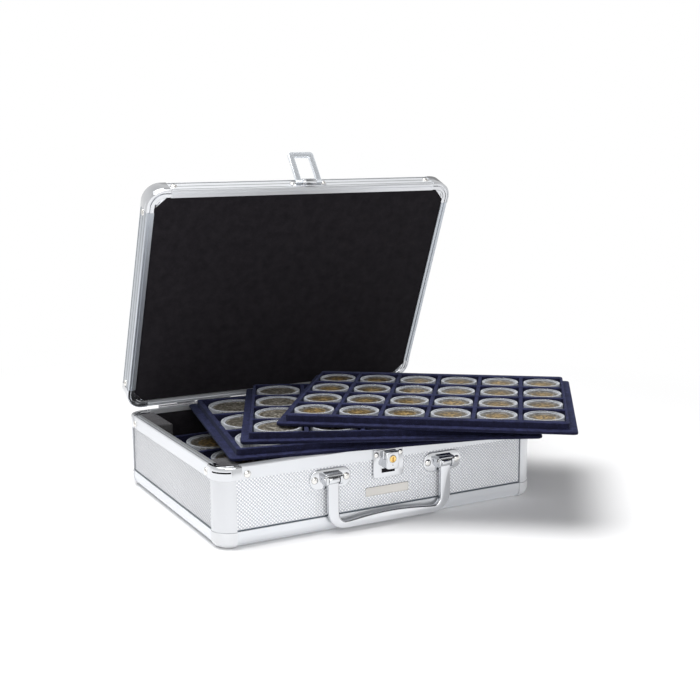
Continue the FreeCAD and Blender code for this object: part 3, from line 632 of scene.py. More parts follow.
def coinFinish(name, centre, ring, split, rough):
    # Struck metal: bright on the relief, darker in the hollows, and two metals where split is under 1
    material, tree, shader = startMaterial(name, Metallic=0.5, Specular_IOR_Level=0.25)
    relief = placeGroup(tree, coinRelief)
    metal = blendColours(tree, spreadRange(tree, relief.outputs["Radius"], split, split + 0.015), centre, ring)
    metal = blendColours(tree, relief.outputs["Tone"], tuple(c * 0.35 for c in centre), metal)
    hollow = blendColours(tree, 0.88, metal, (0.02, 0.016, 0.012))
    tone = blendColours(tree, spreadRange(tree, relief.outputs["Height"], 0.0, 0.6, 0.35, 1.0), hollow, metal)
    tone = blendColours(tree, relief.outputs["Tarnish"], tone, (0.05, 0.035, 0.018))
    worn = spreadRange(tree, relief.outputs["Worn"], 0.3, 0.7, rough, rough + 0.16)
    dressShader(tree, shader, relief.outputs["Height"], 0.45, 0.9, tone, worn)
    return material


capsuleRim = capsuleRimFinish()
capsuleWindow = capsuleWindowFinish()
gold, nickel, silver = (0.64, 0.44, 0.17), (0.50, 0.48, 0.43), (0.60, 0.57, 0.49)
coinTwoTone = coinFinish("coinTwoTone", gold, nickel, 0.67, 0.40)
coinPale = coinFinish("coinPale", silver, (0.62, 0.56, 0.44), 0.74, 0.40)
coinSilver = coinFinish("coinSilver", silver, silver, 1.5, 0.40)
print("materials made")


def finishNodes(material, *names):
    for name in names:
        for held in nodes[name].material_slots:
            held.material = material


finishNodes(aluminiumX, "base_rim_front", "base_rim_back", "bottom_edge_front", "bottom_edge_back")
finishNodes(lidFrameXLit, "lid_rim_front", "lid_rim_back")
finishNodes(lidFrameYShaded, "lid_rim_left", "lid_rim_right")
finishNodes(aluminiumY, "base_rim_left", "base_rim_right", "bottom_edge_left", "bottom_edge_right")
finishNodes(aluminiumZShaded, "corner_posts")
finishNodes(panelFront, "base_front_panel", "base_back_panel")
finishNodes(panelSide, "base_left_panel", "base_right_panel")
finishNodes(panelTop, "base_floor_panel", "lid_top_panel")
finishNodes(cornerPlastic, "ball_corners", "capsules_small", "capsules_medium", "capsules_large",
            "stowed_capsules_upper")
finishNodes(chromePlate, "base_corner_fittings", "lid_corner_fittings", "handle_brackets", "handle_bail", "lock_plate",
            "lock_body", "hasp_plate", "hasp_loop")
finishNodes(rivetSteel, "base_rivets", "lid_rivets", "lock_rivets", "handle_rivets", "hasp_rivets",
            "hinge_rivets_base", "hinge_rivets_lid")
finishNodes(hingeSteel, "hinge_base_leaf", "hinge_lid_leaf", "hinge_pin")
finishNodes(blackLining, "base_lining_floor", "base_lining_walls", "lid_lining")
finishNodes(blackFoam, "base_foam_pad")
finishNodes(greyFelt, "tray_spacers")
finishNodes(plateSatin, "name_plate")
finishNodes(keyBrass, "key_cylinder")
finishNodes(navyFlock, "tray_small", "tray_medium", "tray_large", "stowed_tray_upper", "stowed_tray_middle",
            "stowed_tray_lower")

# Domed rivet heads in two sizes (radius, height), and where each row sits
rivet = {"large": (2.9, 1.5), "small": (2.3, 1.3), "steps": 24, "rimX": 121, "rimY": 83.5, "rimZ": 57.5, "lidZ": 72.94,
         "handleX": 51.35, "handleOff": 13.8, "handleZ": 44, "lockX": 10.9, "lockZ": 57.2, "haspX": 14.7, "haspZ": 70.1,
         "hingeX": (-100.05, -34.5, 34.5, 100.05), "hingeLow": 57.55, "hingeHigh": 70.75}
faceBack = Matrix.Rotation(math.radians(-90), 4, "X")
faceRight = Matrix.Rotation(math.radians(90), 4, "Y")


def modelRivet(name, radius, height):
    line = [(0, -0.3), (radius - 0.15, -0.3), (radius, 0), (radius, 0.12)]
    for share in (0.94, 0.82, 0.64, 0.42, 0.2):
        line.append((radius * share, 0.12 + (height - 0.12) * math.sqrt(1 - share * share)))
    line.append((0, height))
    return turnRound(name, line, rivet["steps"])


def rimRivets(z):
    places = []
    for side in (-1, 1):
        places.append((side * rivet["rimX"], -106, z, faceFront))
        places.append((side * rivet["rimX"], 106, z, faceBack))
        places.append((-145, side * rivet["rimY"], z, faceLeft))
        places.append((145, side * rivet["rimY"], z, faceRight))
    return places


def rivetRow(xPlaces, y, z, turn=faceFront):
    return [(x, y, z, turn) for x in xPlaces]


def setRivets(name, size, body, node, rivetPlaces):
    head = modelRivet(name + "Head", *rivet[size])
    heads = [copyPiece(head, name, Matrix.Translation(spot(x, y, z)) @ turn) for x, y, z, turn in rivetPlaces]
    dropPiece(head)
    settle(joinPieces(name, heads), body, rivetSteel, [node], onLid=body == "lid")


handleRow = [side * rivet["handleX"] + off * rivet["handleOff"] for side in (-1, 1) for off in (-1, 1)]
lockRow, haspRow = ((-rivet[key], rivet[key]) for key in ("lockX", "haspX"))
setRivets("baseRivets", "large", "base", "base_rivets", rimRivets(rivet["rimZ"]))
setRivets("lidRivets", "large", "lid", "lid_rivets", rimRivets(rivet["lidZ"]))
setRivets("handleRivets", "large", "base", "handle_rivets", rivetRow(handleRow, -106.2, rivet["handleZ"]))
setRivets("lockRivets", "small", "base", "lock_rivets", rivetRow(lockRow, -107, rivet["lockZ"]))
setRivets("haspRivets", "small", "lid", "hasp_rivets", rivetRow(haspRow, -107, rivet["haspZ"]))
setRivets("hingeRivetsBase", "small", "base", "hinge_rivets_base",
          rivetRow(rivet["hingeX"], 107, rivet["hingeLow"], faceBack))
setRivets("hingeRivetsLid", "small", "lid", "hinge_rivets_lid",
          rivetRow(rivet["hingeX"], 107, rivet["hingeHigh"], faceBack))
print("rivets set")

# Rounded foot corners: a shell swept a quarter turn round the corner's own axis
footCorner = {"halfWidth": 145.4, "halfDepth": 106.4, "reach": 15.4, "round": 7.5, "wall": 1.4, "height": 13.5,
              "steps": 14}


def modelFootCorner():
    reach, rounding, wall = footCorner["reach"], footCorner["round"], footCorner["wall"]
    outer = arcPoints((reach - rounding, rounding), rounding, -90, 0, 8)
    inner = arcPoints((reach - rounding, rounding), rounding - wall, 0, -90, 5)
    top = footCorner["height"]
    line = [(0, 0)] + outer + [(reach, top - 0.5), (reach - 0.4, top), (reach - wall, top)] + inner + [(0, wall)]
    axisX, axisY = reach - footCorner["halfWidth"], reach - footCorner["halfDepth"]
    piece = traceLine("footCorner", [(axisX - out, axisY, z) for out, z in line])
    turnOn(90, (axisX, axisY, 0), (0, 0, 1), footCorner["steps"])
    return closeUp(piece)


feet = fourCorners("footCorners", modelFootCorner())
settle(feet, "base", cornerPlastic, ["ball_corners"])
print("feet", len(feet.data.polygons))

# Plated corner fittings: the profile is pulled along one leg, turned round the corner and pulled along the other
baseFitting = {"low": 53.5, "skin": 0.9, "shelf": 60.7, "slitLow": 59.2, "slitHigh": 60.4, "slitIn": 13.9,
               "slitOut": 16.5, "slitWay": (-0.966, -0.259)}


def sweepCorner(name, line, steps):
    legs = case["legEnd"] - case["corner"]
    axisX, axisY = case["corner"] - case["halfWidth"], case["corner"] - case["halfDepth"]
    piece = traceLine(name, [(axisX + legs, inward - case["halfDepth"], z) for inward, z in line])
    pullOn(-legs, 0, 0)
    turnOn(-90, (axisX, axisY, 0), (0, 0, 1), steps)
    pullOn(0, legs, 0)
    return closeUp(piece)


def modelBaseFitting():
    low, shelf, skin = (baseFitting[key] for key in ("low", "shelf", "skin"))
    top = case["top"]
    line = [(-0.4, low), (-0.4, top - 1.3), (-0.2, top - 0.6), (0.2, top - 0.15), (0.8, top), (2.5, top)]
    line.append((2.7, top - 0.7))
    line += [(3.7, top - 0.7), (3.9, top), (5.6, top), (6.2, top - 0.25), (6.5, top - 0.9), (6.5, shelf)]
    line += [(skin, shelf), (skin, low)]
    piece = sweepCorner("baseFitting", line, 14)
    near, far, under, over = (baseFitting[key] for key in ("slitIn", "slitOut", "slitLow", "slitHigh"))
    axisX, axisY = case["corner"] - case["halfWidth"], case["corner"] - case["halfDepth"]
    wayX, wayY = baseFitting["slitWay"]
    slitLine = [(near, under), (far, under), (far, over), (near, over)]
    slit = traceLine("slit", [(axisX + wayX * out, axisY + wayY * out, z) for out, z in slitLine])
    turnOn(60, (axisX, axisY, 0), (0, 0, 1), 12)
    closeUp(slit)
    cutWith(piece, slit)
    return piece


fittings = fourCorners("baseFittings", modelBaseFitting())
settle(fittings, "base", chromePlate, ["base_corner_fittings"])
print("base fittings", len(fittings.data.polygons))

lidFitting = {"web": 9.0, "webThickness": 1.1, "webSink": 0.35, "grooveMiddle": 8.6, "grooveOut": 7.3, "grooveIn": 6.6}


def modelLidFitting():
    low, top = case["lidBottom"], case["lidTop"]
    line = [(0.5, low), (-0.1, low + 0.2), (-0.4, low + 0.8), (-0.4, low + 3.6), (0.1, low + 3.9), (0.1, low + 4.5)]
    line += [(-0.4, low + 4.8), (-0.4, top - 3.0), (0.05, top - 1.75), (0.9, top - 0.75), (2.3, top)]
    line += [(12.6, top), (13.0, top - 0.35), (13.0, top - 1.15), (2.6, top - 1.15), (1.0, top - 3.0), (1.0, low + 1.5)]
    line += [(5.6, low + 1.5), (6.5, low + 1.2), (6.5, low + 0.6), (6.0, low), (3.9, low), (3.6, low - 0.6)]
    line += [(2.8, low - 0.6), (2.5, low + 0.5), (1.3, low + 0.5), (1.1, low)]
    piece = sweepCorner("lidFitting", line, 14)
    cornerX, cornerY = case["inset"] - case["halfWidth"], case["inset"] - case["halfDepth"]
    web, sink = lidFitting["web"], lidFitting["webSink"]
    flat = [(-0.3, -0.3), (web, -0.3), (web + 0.6, 0.0), (0.0, web + 0.6), (-0.3, web)]
    places = [(cornerX + x, cornerY + y, low + sink) for x, y in flat]
    plate = pullOutline("lidWeb", places, (0, 0, lidFitting["webThickness"]))
    softenEdges(plate, 0.3, 2)
    middle = (cornerX + lidFitting["grooveMiddle"], cornerY + lidFitting["grooveMiddle"])
    bow = arcPoints(middle, lidFitting["grooveOut"], 195, 255, 8)
    bow += arcPoints(middle, lidFitting["grooveIn"], 255, 195, 8)
    cutWith(plate, pullOutline("webGroove", [(x, y, low - 1) for x, y in bow], (0, 0, 1.9)))
    return joinPieces("lidFitting", [piece, plate])


lidFittings = fourCorners("lidFittings", modelLidFitting())
settle(lidFittings, "lid", chromePlate, ["lid_corner_fittings"], onLid=True)
print("lid fittings", len(lidFittings.data.polygons))

# Handle: a flat bail with an arched grip and rolled eyes, in two hooded brackets
handle = {"half": 56, "bar": 9.3, "low": 3.6, "pivotY": -109.9, "pivotZ": 44, "thickness": 4.2, "outerRound": 15,
          "innerRound": 7, "gripEnd": 9.2, "gripMiddle": 12.2, "eye": 3.5, "edge": 1.2}
bracket = {"centre": 51.35, "width": 36, "height": 16, "back": -105, "face": -106.2, "slot": 5.0, "ear": 2.2}


def modelBail():
    half, low, top = handle["half"], handle["low"], handle["pivotZ"]
    inner = half - handle["bar"]
    outerRound, innerRound = handle["outerRound"], handle["innerRound"]
    line = roundFootLine(half, low, top, outerRound, 10) + [(inner, top)]
    line += arcPoints((inner - innerRound, handle["gripEnd"] + innerRound), innerRound, 360, 285, 6)
    reach = inner - innerRound
    rise = handle["gripMiddle"] - handle["gripEnd"]
    for step in range(13):
        share = 0.93 - 1.86 * step / 12
        line.append((share * reach, handle["gripEnd"] + rise * math.cos(share * math.pi / 2)))
    line += arcPoints((innerRound - inner, handle["gripEnd"] + innerRound), innerRound, 255, 180, 6) + [(-inner, top)]
    back = handle["pivotY"] + handle["thickness"] / 2
    front = handle["pivotY"] - handle["thickness"] / 2
    bail = pullOutline("handleBail", [(x, back, z) for x, z in line], (0, front - back, 0))
    chooseEdges(bail, lambda a, b: max(a.y, b.y) < front + 0.01 and min(a.z, b.z) < top - 0.1)
    bevelChosen(handle["edge"], 3)
    chooseEdges(bail, lambda a, b: min(a.y, b.y) > back - 0.01 and min(a.z, b.z) < top - 0.1)
    bevelChosen(0.6, 2)
    parts = [bail]
    for side in (-1, 1):
        centre = (side * bracket["centre"], handle["pivotY"], top)
        eye = rodFrom("handleEye", centre, "X", handle["eye"], handle["bar"] - 0.2, 32)
        softenEdges(eye, 0.5, 2)
        parts.append(eye)
    return joinPieces("handleBail", parts)


settle(modelBail(), "handle", chromePlate, ["handle_bail"])


def modelBracket(centre):
    end = bracket["width"] / 2 - bracket["height"] / 2
    radius = bracket["height"] / 2
    places = [(x, bracket["back"], z) for x, z in roundEndLine(centre, end, handle["pivotZ"], radius, 14)]
    plate = pullOutline("bracket", places, (0, bracket["face"] - bracket["back"], 0))
    chooseEdges(plate, lambda a, b: max(a.y, b.y) < bracket["face"] + 0.01)
    bevelChosen(0.6, 3)
    side = [(-106.0, 40), (-111.7, 40), (-113.2, 41.2), (-113.6, 42.6), (-113.7, 46.8), (-113.3, 48.2)]
    side += [(-112.4, 49.1), (-111.0, 49.5), (-107.4, 49.5), (-106.0, 50.2)]
    wide = bracket["slot"] + bracket["ear"]
    hood = pullOutline("hood", [(centre - wide, y, z) for y, z in side], (2 * wide, 0, 0))
    slot = bracket["slot"]
    cutWith(hood, boxFrom("mouth", (centre - slot, -116, 38), (centre + slot, bracket["face"], 48.0)))
    softenEdges(hood, 0.45, 2, 25)
    pin = rodFrom("handlePin", (centre, handle["pivotY"], handle["pivotZ"]), "X", 1.6, 2 * wide + 0.9, 24)
    softenEdges(pin, 0.35, 2)
    return joinPieces("bracket", [plate, hood, pin])


brackets = joinPieces("handleBrackets", [modelBracket(side * bracket["centre"]) for side in (-1, 1)])
settle(brackets, "base", chromePlate, ["handle_brackets"])
print("handle made")

# Lock: pressed plate with a slot, a sliding body, a key core with its keyway
lock = {"half": 13.6, "low": 38, "high": 61, "round": 2.6, "bodyHalf": 5.8, "bodyLow": 46, "bodyHigh": 60.2,
        "bodyRound": 2.4, "bodyBack": -107.05, "bodyFront": -114.05, "keyZ": 54.4, "keyRadius": 3.0}


def modelLockPlate():
    half, low = lock["half"], lock["low"]
    line = roundFootLine(half, low, lock["high"], lock["round"])
    plate = pullOutline("lockPlate", [(x, -106, z) for x, z in line], (0, -1, 0))
    cutWith(plate, boxFrom("slot", (-6, -109, 42.2), (6, -104, 45.4)))
    softenEdges(plate, 0.3, 2)
    # A black plate behind the slot, a painted shadow for the dark inside of the lock
    behind = boxFrom("slotShadowPlate", (-half + 1, -106.05, low + 1), (half - 1, -105.1, 53.4))
    return plate, behind


lockPlate, slotShadowPlate = modelLockPlate()
settle(lockPlate, "base", chromePlate, ["lock_plate"])
softenEdges(slotShadowPlate, 0.1, 1)
settle(slotShadowPlate, "base", blackLining)


def modelLockBody():
    half = lock["bodyHalf"]
    line = roundFootLine(half, lock["bodyLow"], lock["bodyHigh"], lock["bodyRound"])
    depth = lock["bodyFront"] - lock["bodyBack"]
    body = pullOutline("lockBody", [(x, lock["bodyBack"], z) for x, z in line], (0, depth, 0))
    for side in (-1, 1):  # a scooped hollow in each flank, for the fingers
        cutWith(body, rodFrom("scoop", (side * (half + 1.6), -110.4, 57.6), "Z", 2.4, 7.4, 24))
    chooseEdges(body, lambda a, b: max(a.y, b.y) < lock["bodyFront"] + 0.01)
    bevelChosen(0.9, 3)
    cutWith(body, rodFrom("keySeat", (0, -112.6, lock["keyZ"]), "Y", lock["keyRadius"] + 0.3, 6.4, 32))
    cutWith(body, rodFrom("pinHole", (0, -114, lock["keyZ"] - 5.0), "Y", 0.55, 2.4, 14))
    collar = turnRound("keyCollar", [(3.05, 0), (3.55, 0), (3.45, 0.22), (3.1, 0.25), (3.05, 0)], 32)
    collar.data.transform(Matrix.Translation(spot(0, lock["bodyFront"] + 0.05, lock["keyZ"])) @ faceFront)
    return joinPieces("lockBody", [body, collar])


settle(modelLockBody(), "lock_slider", chromePlate, ["lock_body"])


def modelKey():
    radius = lock["keyRadius"]
    line = [(0, 0), (radius, 0), (radius, 6.0), (radius - 0.35, 6.35), (radius - 0.7, 6.35)]
    line += [(radius - 0.85, 6.15), (0, 6.05)]
    key = turnRound("keyCore", line, 32)
    key.data.transform(Matrix.Translation(spot(0, -108.2, lock["keyZ"])) @ faceFront)
    cutWith(key, boxFrom("keyway", (-0.5, -116, lock["keyZ"] - 2.2), (0.5, -112.8, lock["keyZ"] + 1.5)))
    return key


settle(modelKey(), "key_core", keyBrass, ["key_cylinder"])

namePlate = {"half": 19.7, "low": 23.8, "high": 31, "thickness": 0.6, "border": 0.7}


def modelNamePlate():
    half, front = namePlate["half"], -105 - namePlate["thickness"]
    plate = boxFrom("namePlate", (-half, front, namePlate["low"]), (half, -105, namePlate["high"]))
    chooseEdges(plate, lambda a, b: abs(a.y - b.y) > 0.5)
    bevelChosen(0.9, 3)
    chooseFaces(plate, lambda centre, normal: normal.y < -0.9)
    bpy.ops.mesh.inset(thickness=namePlate["border"] * mm)
    bpy.ops.transform.translate(value=spot(0, 0.15, 0))
    bpy.ops.object.mode_set(mode="OBJECT")
    softenEdges(plate, 0.08, 2)
    return plate


settle(modelNamePlate(), "base", plateSatin, ["name_plate"])
print("lock made")

# Hasp: a winged plate with a clip that holds the loop's rod
hasp = {"plateHalf": 17.4, "low": 65.5, "high": 74.7, "clipHalf": 6.5, "pivotY": -109, "pivotZ": 69.3, "rod": 1.5,
        "half": 12.2, "window": 7.1, "reach": 29.9, "thickness": 2.6, "bar": 5.2, "swing": -148.5}


def modelHaspPlate():
    radius = (hasp["high"] - hasp["low"]) / 2
    middle = hasp["low"] + radius
    end = hasp["plateHalf"] - radius
    line = roundEndLine(0, end, middle, radius, 10)
    plate = pullOutline("haspPlate", [(x, -106, z) for x, z in line], (0, -1, 0))
    chooseEdges(plate, lambda a, b: max(a.y, b.y) < -106.99)
    bevelChosen(0.4, 2)
    y, z = hasp["pivotY"], hasp["pivotZ"]
    side = [(-106.9, z + 2.5)] + arcPoints((y, z), 2.5, 90, 270, 14) + [(-106.9, z - 2.5)]
    clip = pullOutline("haspClip", [(-hasp["clipHalf"], a, b) for a, b in side], (2 * hasp["clipHalf"], 0, 0))
    cutWith(clip, rodFrom("haspBore", (0, y, z), "X", hasp["rod"] + 0.05, 20, 32))
    softenEdges(clip, 0.3, 2, 40)
    hook = boxFrom("haspHook", (-4.6, -107.6, 65.0), (4.6, -105.9, 66.4))
    softenEdges(hook, 0.5, 2)
    return joinPieces("haspPlate", [plate, clip, hook])


settle(modelHaspPlate(), "lid", chromePlate, ["hasp_plate"], onLid=True)


def modelHaspLoop():
    half, window, y, z = hasp["half"], hasp["window"], hasp["pivotY"], hasp["pivotZ"]
    low = z - hasp["reach"]
    over = low + hasp["bar"]
    line = roundFootLine(half, low, z, 3) + [(window, z), (window, over + 1), (window - 1, over)]
    line += [(1 - window, over), (-window, over + 1), (-window, z)]
    back = y + hasp["thickness"] / 2
    loop = pullOutline("haspLoop", [(x, back, b) for x, b in line], (0, -hasp["thickness"], 0))
    softenEdges(loop, 1.15, 4, 40)
    rod = rodFrom("haspRod", (0, y, z), "X", hasp["rod"], 2 * half, 28)
    softenEdges(rod, 0.3, 2)
    loop = joinPieces("haspLoop", [loop, rod])
    pivot = spot(0, y, z)
    turn = Matrix.Translation(pivot) @ Matrix.Rotation(math.radians(hasp["swing"]), 4, "X") @ Matrix.Translation(-pivot)
    loop.data.transform(turn)
    return loop


settle(modelHaspLoop(), "hasp", loopSteelLit, ["hasp_loop"], onLid=True)
print("hasp made")

# Strip hinge along the back: two leaves with rolled knuckles
hinge = {"half": 115, "count": 13, "gap": 0.3, "radius": 1.7, "bore": 0.9, "axisY": 107.8, "axisZ": 64.15, "leaf": 11,
         "start": 2.1}


def modelLeaf(name, up, first):
    y, z = hinge["axisY"], hinge["axisZ"]
    low, high = sorted((z + up * hinge["start"], z + up * hinge["leaf"]))
    strip = boxFrom(name, (-hinge["half"], 106, low), (hinge["half"], 107, high))
    softenEdges(strip, 0.25, 2)
    parts = [strip]
    pitch = 2 * hinge["half"] / hinge["count"]
    length = pitch - hinge["gap"]
    ringLine = [(hinge["bore"], 0), (hinge["radius"] - 0.2, 0), (hinge["radius"], 0.2), (hinge["radius"], length - 0.2)]
    ringLine += [(hinge["radius"] - 0.2, length), (hinge["bore"], length), (hinge["bore"], 0)]
    tube = turnRound("knuckle", ringLine, 20)
    for index in range(first, hinge["count"], 2):
        start = -hinge["half"] + index * pitch + hinge["gap"] / 2
        parts.append(copyPiece(tube, name + "Knuckle", Matrix.Translation(spot(start, y, z)) @ faceRight))
        near, far = sorted((z + up * 1.2, z + up * (hinge["start"] + 0.4)))
        parts.append(boxFrom(name + "Tab", (start, 106.02, near), (start + length, 106.98, far)))
    dropPiece(tube)
    return joinPieces(name, parts)


settle(modelLeaf("hingeBaseLeaf", -1, 0), "base", hingeSteel, ["hinge_base_leaf"])
settle(modelLeaf("hingeLidLeaf", 1, 1), "lid", hingeSteel, ["hinge_lid_leaf"], onLid=True)
print("hinge made")

# Felt blocks that keep the stowed trays in the middle, and the foam under them
spacer = {"inner": 122, "outer": 138.45, "low": 6.5, "high": 62, "back": (51.5, 99.45), "front": (-99.45, -69.5)}


def modelSpacer(name, start, end):
    block = boxFrom(name, (-spacer["outer"], start, spacer["low"]), (-spacer["inner"], end, spacer["high"]))
    softenEdges(block, 1.2, 3)
    return block


spacers = [modelSpacer("spacer", *spacer[end]) for end in ("back", "front")]
spacers += [copyPiece(one, "spacer", mirrorX) for one in spacers]
settle(joinPieces("traySpacers", spacers), "base", greyFelt, ["tray_spacers"])
foam = boxFrom("foamPad", (-120.5, -98.5, 6.5), (120.5, 98.5, 18.3))
softenEdges(foam, 1.5, 3)
settle(foam, "base", blackFoam, ["base_foam_pad"])
print("inside made")

# Compartment trays, capsules and coins
tray = {"halfWidth": 118, "halfDepth": 96, "height": 7.5, "flange": 2.4, "step": 6.4, "floor": 1.6, "corner": 3.4,
        "edge": 0.7, "lip": 2.2, "hollow": 0.9, "capsuleLift": 1.62}
layoutKeys = ("columns", "rows", "sideBorder", "endBorder", "barAcross", "barAlong", "capsule", "coin", "disc")
layouts = {"small": dict(zip(layoutKeys, (6, 4, 7, 12, 3.2, 5.2, 16.2, 13.5, 13.4))),
           "medium": dict(zip(layoutKeys, (5, 4, 7.25, 8, 3.4, 3.4, 19.5, 16.4, 16.3))),
           "large": dict(zip(layoutKeys, (4, 3, 8.8, 9, 3.4, 4.4, 24.5, 20.6, 20.5)))}
places = {"large": (6.5, -20.5, 64.05, -11.4), "medium": (34.6, -37.0, 71.6, -25.0),
          "small": (75.0, -55.0, 79.15, -36.7), "upper": (0, 0, 33.45, 0), "middle": (0, 0, 25.9, 0),
          "lower": (0, 0, 18.35, 0)}


def pitchesOf(layout):
    across = (2 * tray["halfWidth"] - 2 * layout["sideBorder"]) / layout["columns"]
    along = (2 * tray["halfDepth"] - 2 * layout["endBorder"]) / layout["rows"]
    return across, along


def middlesOf(layout):
    across, along = pitchesOf(layout)
    middleColumn, middleRow = (layout["columns"] - 1) / 2, (layout["rows"] - 1) / 2
    return [((column - middleColumn) * across, (row - middleRow) * along)
            for row in range(layout["rows"]) for column in range(layout["columns"])]


def placeOf(name):
    x, y, z, angle = places[name]
    return Matrix.Translation(spot(x, y, z)) @ Matrix.Rotation(math.radians(angle), 4, "Z")


def modelTray(name, layout):
    wide, deep = tray["halfWidth"] - tray["step"], tray["halfDepth"] - tray["step"]
    top, flange, rounding = (tray[key] for key in ("height", "flange", "corner"))
    line = []
    for x, y, start in ((wide, deep, 0), (-wide, deep, 90), (-wide, -deep, 180), (wide, -deep, 270)):
        centre = (x - math.copysign(rounding, x), y - math.copysign(rounding, y))
        line += arcPoints(centre, rounding, start, start + 90, 5)
    piece = traceLine(name, [(x, y, top) for x, y in line])
    across, along = pitchesOf(layout)
    halfAcross, halfAlong = (across - layout["barAcross"]) / 2, (along - layout["barAlong"]) / 2
    middles = middlesOf(layout)
    cuts = [(spot(x, 0, 0), (1, 0, 0)) for x in sorted({x + side * halfAcross for x, y in middles for side in (-1, 1)})]
    cuts += [(spot(0, y, 0), (0, 1, 0)) for y in sorted({y + side * halfAlong for x, y in middles for side in (-1, 1)})]
    for place, normal in cuts:
        bpy.ops.mesh.select_all(action="SELECT")
        bpy.ops.mesh.bisect(plane_co=place, plane_no=normal)

    def inPocket(centre, normal):
        return any(abs(centre.x - x) < halfAcross and abs(centre.y - y) < halfAlong for x, y in middles)

    chooseFaces(piece, inPocket)
    pullOn(0, 0, tray["floor"] - top)

    bpy.ops.mesh.select_all(action="DESELECT")
    bpy.ops.mesh.select_mode(type="EDGE")
    bpy.ops.mesh.select_non_manifold()
    pullOn(0, 0, flange - top)
    pullOn(0, 0, 0)
    outward = (tray["halfWidth"] / wide, tray["halfDepth"] / deep, 1)
    bpy.ops.transform.resize(value=outward, center_override=(0, 0, 0))
    pullOn(0, 0, -flange)
    bpy.ops.mesh.edge_face_add()
    closeUp(piece)

    softenEdges(piece, tray["edge"], 2, 40)
    chooseFaces(piece, lambda centre, normal: normal.z < -0.9 and centre.z < 0.1)
    bpy.ops.mesh.inset(thickness=tray["lip"] * mm)
    pullOn(0, 0, tray["hollow"])
    closeUp(piece)
    return piece


def modelRing(layout):
    outer, seat = layout["capsule"], layout["coin"] + 0.15
    steps = ((0.3, 0), (0, 0.3), (0, 2.3), (0.25, 2.5), (0.25, 2.8), (0, 3.0), (0, 5.0),
             (0.2, 5.35), (0.6, 5.48), (1.2, 5.45), (1.5, 5.2), (1.55, 4.7))
    line = [(outer - inward, height) for inward, height in steps] + [(seat, 4.45), (seat, 0)]
    return turnRound("capsuleRing", line + line[:1], 36)


def modelWindow(layout):
    radius = layout["capsule"] - 1.6
    return turnRound("capsuleWindow", [(0, 4.75), (radius, 4.75), (radius, 5.0), (radius - 0.1, 5.1), (0, 5.1)], 36)


def modelCoin(layout):
    radius = layout["disc"]
    steps = ((0.15, 1.6), (0, 1.75), (0, 3.65), (0.15, 3.8), (0.95, 3.8), (1.1, 3.66))
    line = [(0, 1.6)] + [(radius - inward, height) for inward, height in steps] + [(0, 3.6)]
    coin = turnRound("coin", line, 40)
    face = coin.data.uv_layers.new(name="coinFace")
    coin.data.uv_layers.new(name="coinKind")
    for loop in coin.data.loops:
        place = coin.data.vertices[loop.vertex_index].co / mm
        face.data[loop.index].uv = (0.5 + place.x / radius / 2, 0.5 + place.y / radius / 2)
    return coin


def layCapsules(name, layout, body, coinMaterial, replaced):
    # One ring, window and coin are modelled, and each compartment gets its own copies
    chance = random.Random(len(name) + layout["columns"])
    place = placeOf(name)
    ring, window, coin = modelRing(layout), modelWindow(layout), modelCoin(layout)
    rings, windows, coins = [], [], []
    for x, y in middlesOf(layout):
        here = place @ Matrix.Translation(spot(x, y, tray["capsuleLift"]))
        rings.append(copyPiece(ring, name, here))
        windows.append(copyPiece(window, name, here))
        turned = here @ Matrix.Rotation(chance.uniform(0, 2 * math.pi), 4, "Z")
        one = copyPiece(coin, name, turned)
        kind, tone = chance.random(), chance.random()
        for loop in one.data.uv_layers["coinKind"].data:
            loop.uv = (kind, tone)
        coins.append(one)
    for one in (ring, window, coin):
        dropPiece(one)
    settle(joinPieces(name + "Rings", rings), body, capsuleRim, [replaced])
    settle(joinPieces(name + "Windows", windows), body, capsuleWindow, smooth=20)
    settle(joinPieces(name + "Coins", coins), body, coinMaterial, smooth=20)


fanned = (("small", "tray_top", "tray_small", "capsules_small", coinTwoTone),
          ("medium", "tray_second", "tray_medium", "capsules_medium", coinPale),
          ("large", "tray_third", "tray_large", "capsules_large", coinSilver))
stowed = (("upper", "stowed_third"), ("middle", "stowed_second"), ("lower", "stowed_first"))
for name, body, node, capsules, metal in fanned:
    piece = modelTray(name + "Tray", layouts[name])
    if name == "large":
        for level, levelBody in stowed:
            twin = copyPiece(piece, level + "Tray", placeOf(level))
            settle(twin, levelBody, navyFlock, ["stowed_tray_" + level], smooth=40)
    piece.data.transform(placeOf(name))
    settle(piece, body, navyFlock, [node], smooth=40)
    print(name, "tray", len(piece.data.polygons))
for name, body, node, capsules, metal in fanned:
    layCapsules(name, layouts[name], body, metal, capsules)
layCapsules("upper", layouts["large"], "stowed_third", coinTwoTone, "stowed_capsules_upper")
print("trays and capsules laid")

# Camera, lamps and floor
view = {"place": (-0.45538, -0.88423, 0.30651), "yaw": -0.49899, "pitch": -0.17764, "roll": -0.0036,
        "focalPixels": 1173.8, "centre": (352.83, 344.67), "imageSize": 700}


def addCamera():
    pickNone()
    bpy.ops.object.camera_add(location=view["place"])
    camera = bpy.context.object
    turn = Matrix.Rotation(view["yaw"], 3, "Z") @ Matrix.Rotation(math.pi / 2 + view["pitch"], 3, "X")
    camera.rotation_euler = (turn @ Matrix.Rotation(view["roll"], 3, "Z")).to_euler()
    camera.data.sensor_width = 36
    camera.data.lens = view["focalPixels"] / view["imageSize"] * 36
    camera.data.shift_x = (view["imageSize"] / 2 - view["centre"][0]) / view["imageSize"]
    camera.data.shift_y = (view["centre"][1] - view["imageSize"] / 2) / view["imageSize"]
    camera.data.clip_start = 0.01
    bpy.context.scene.camera = camera


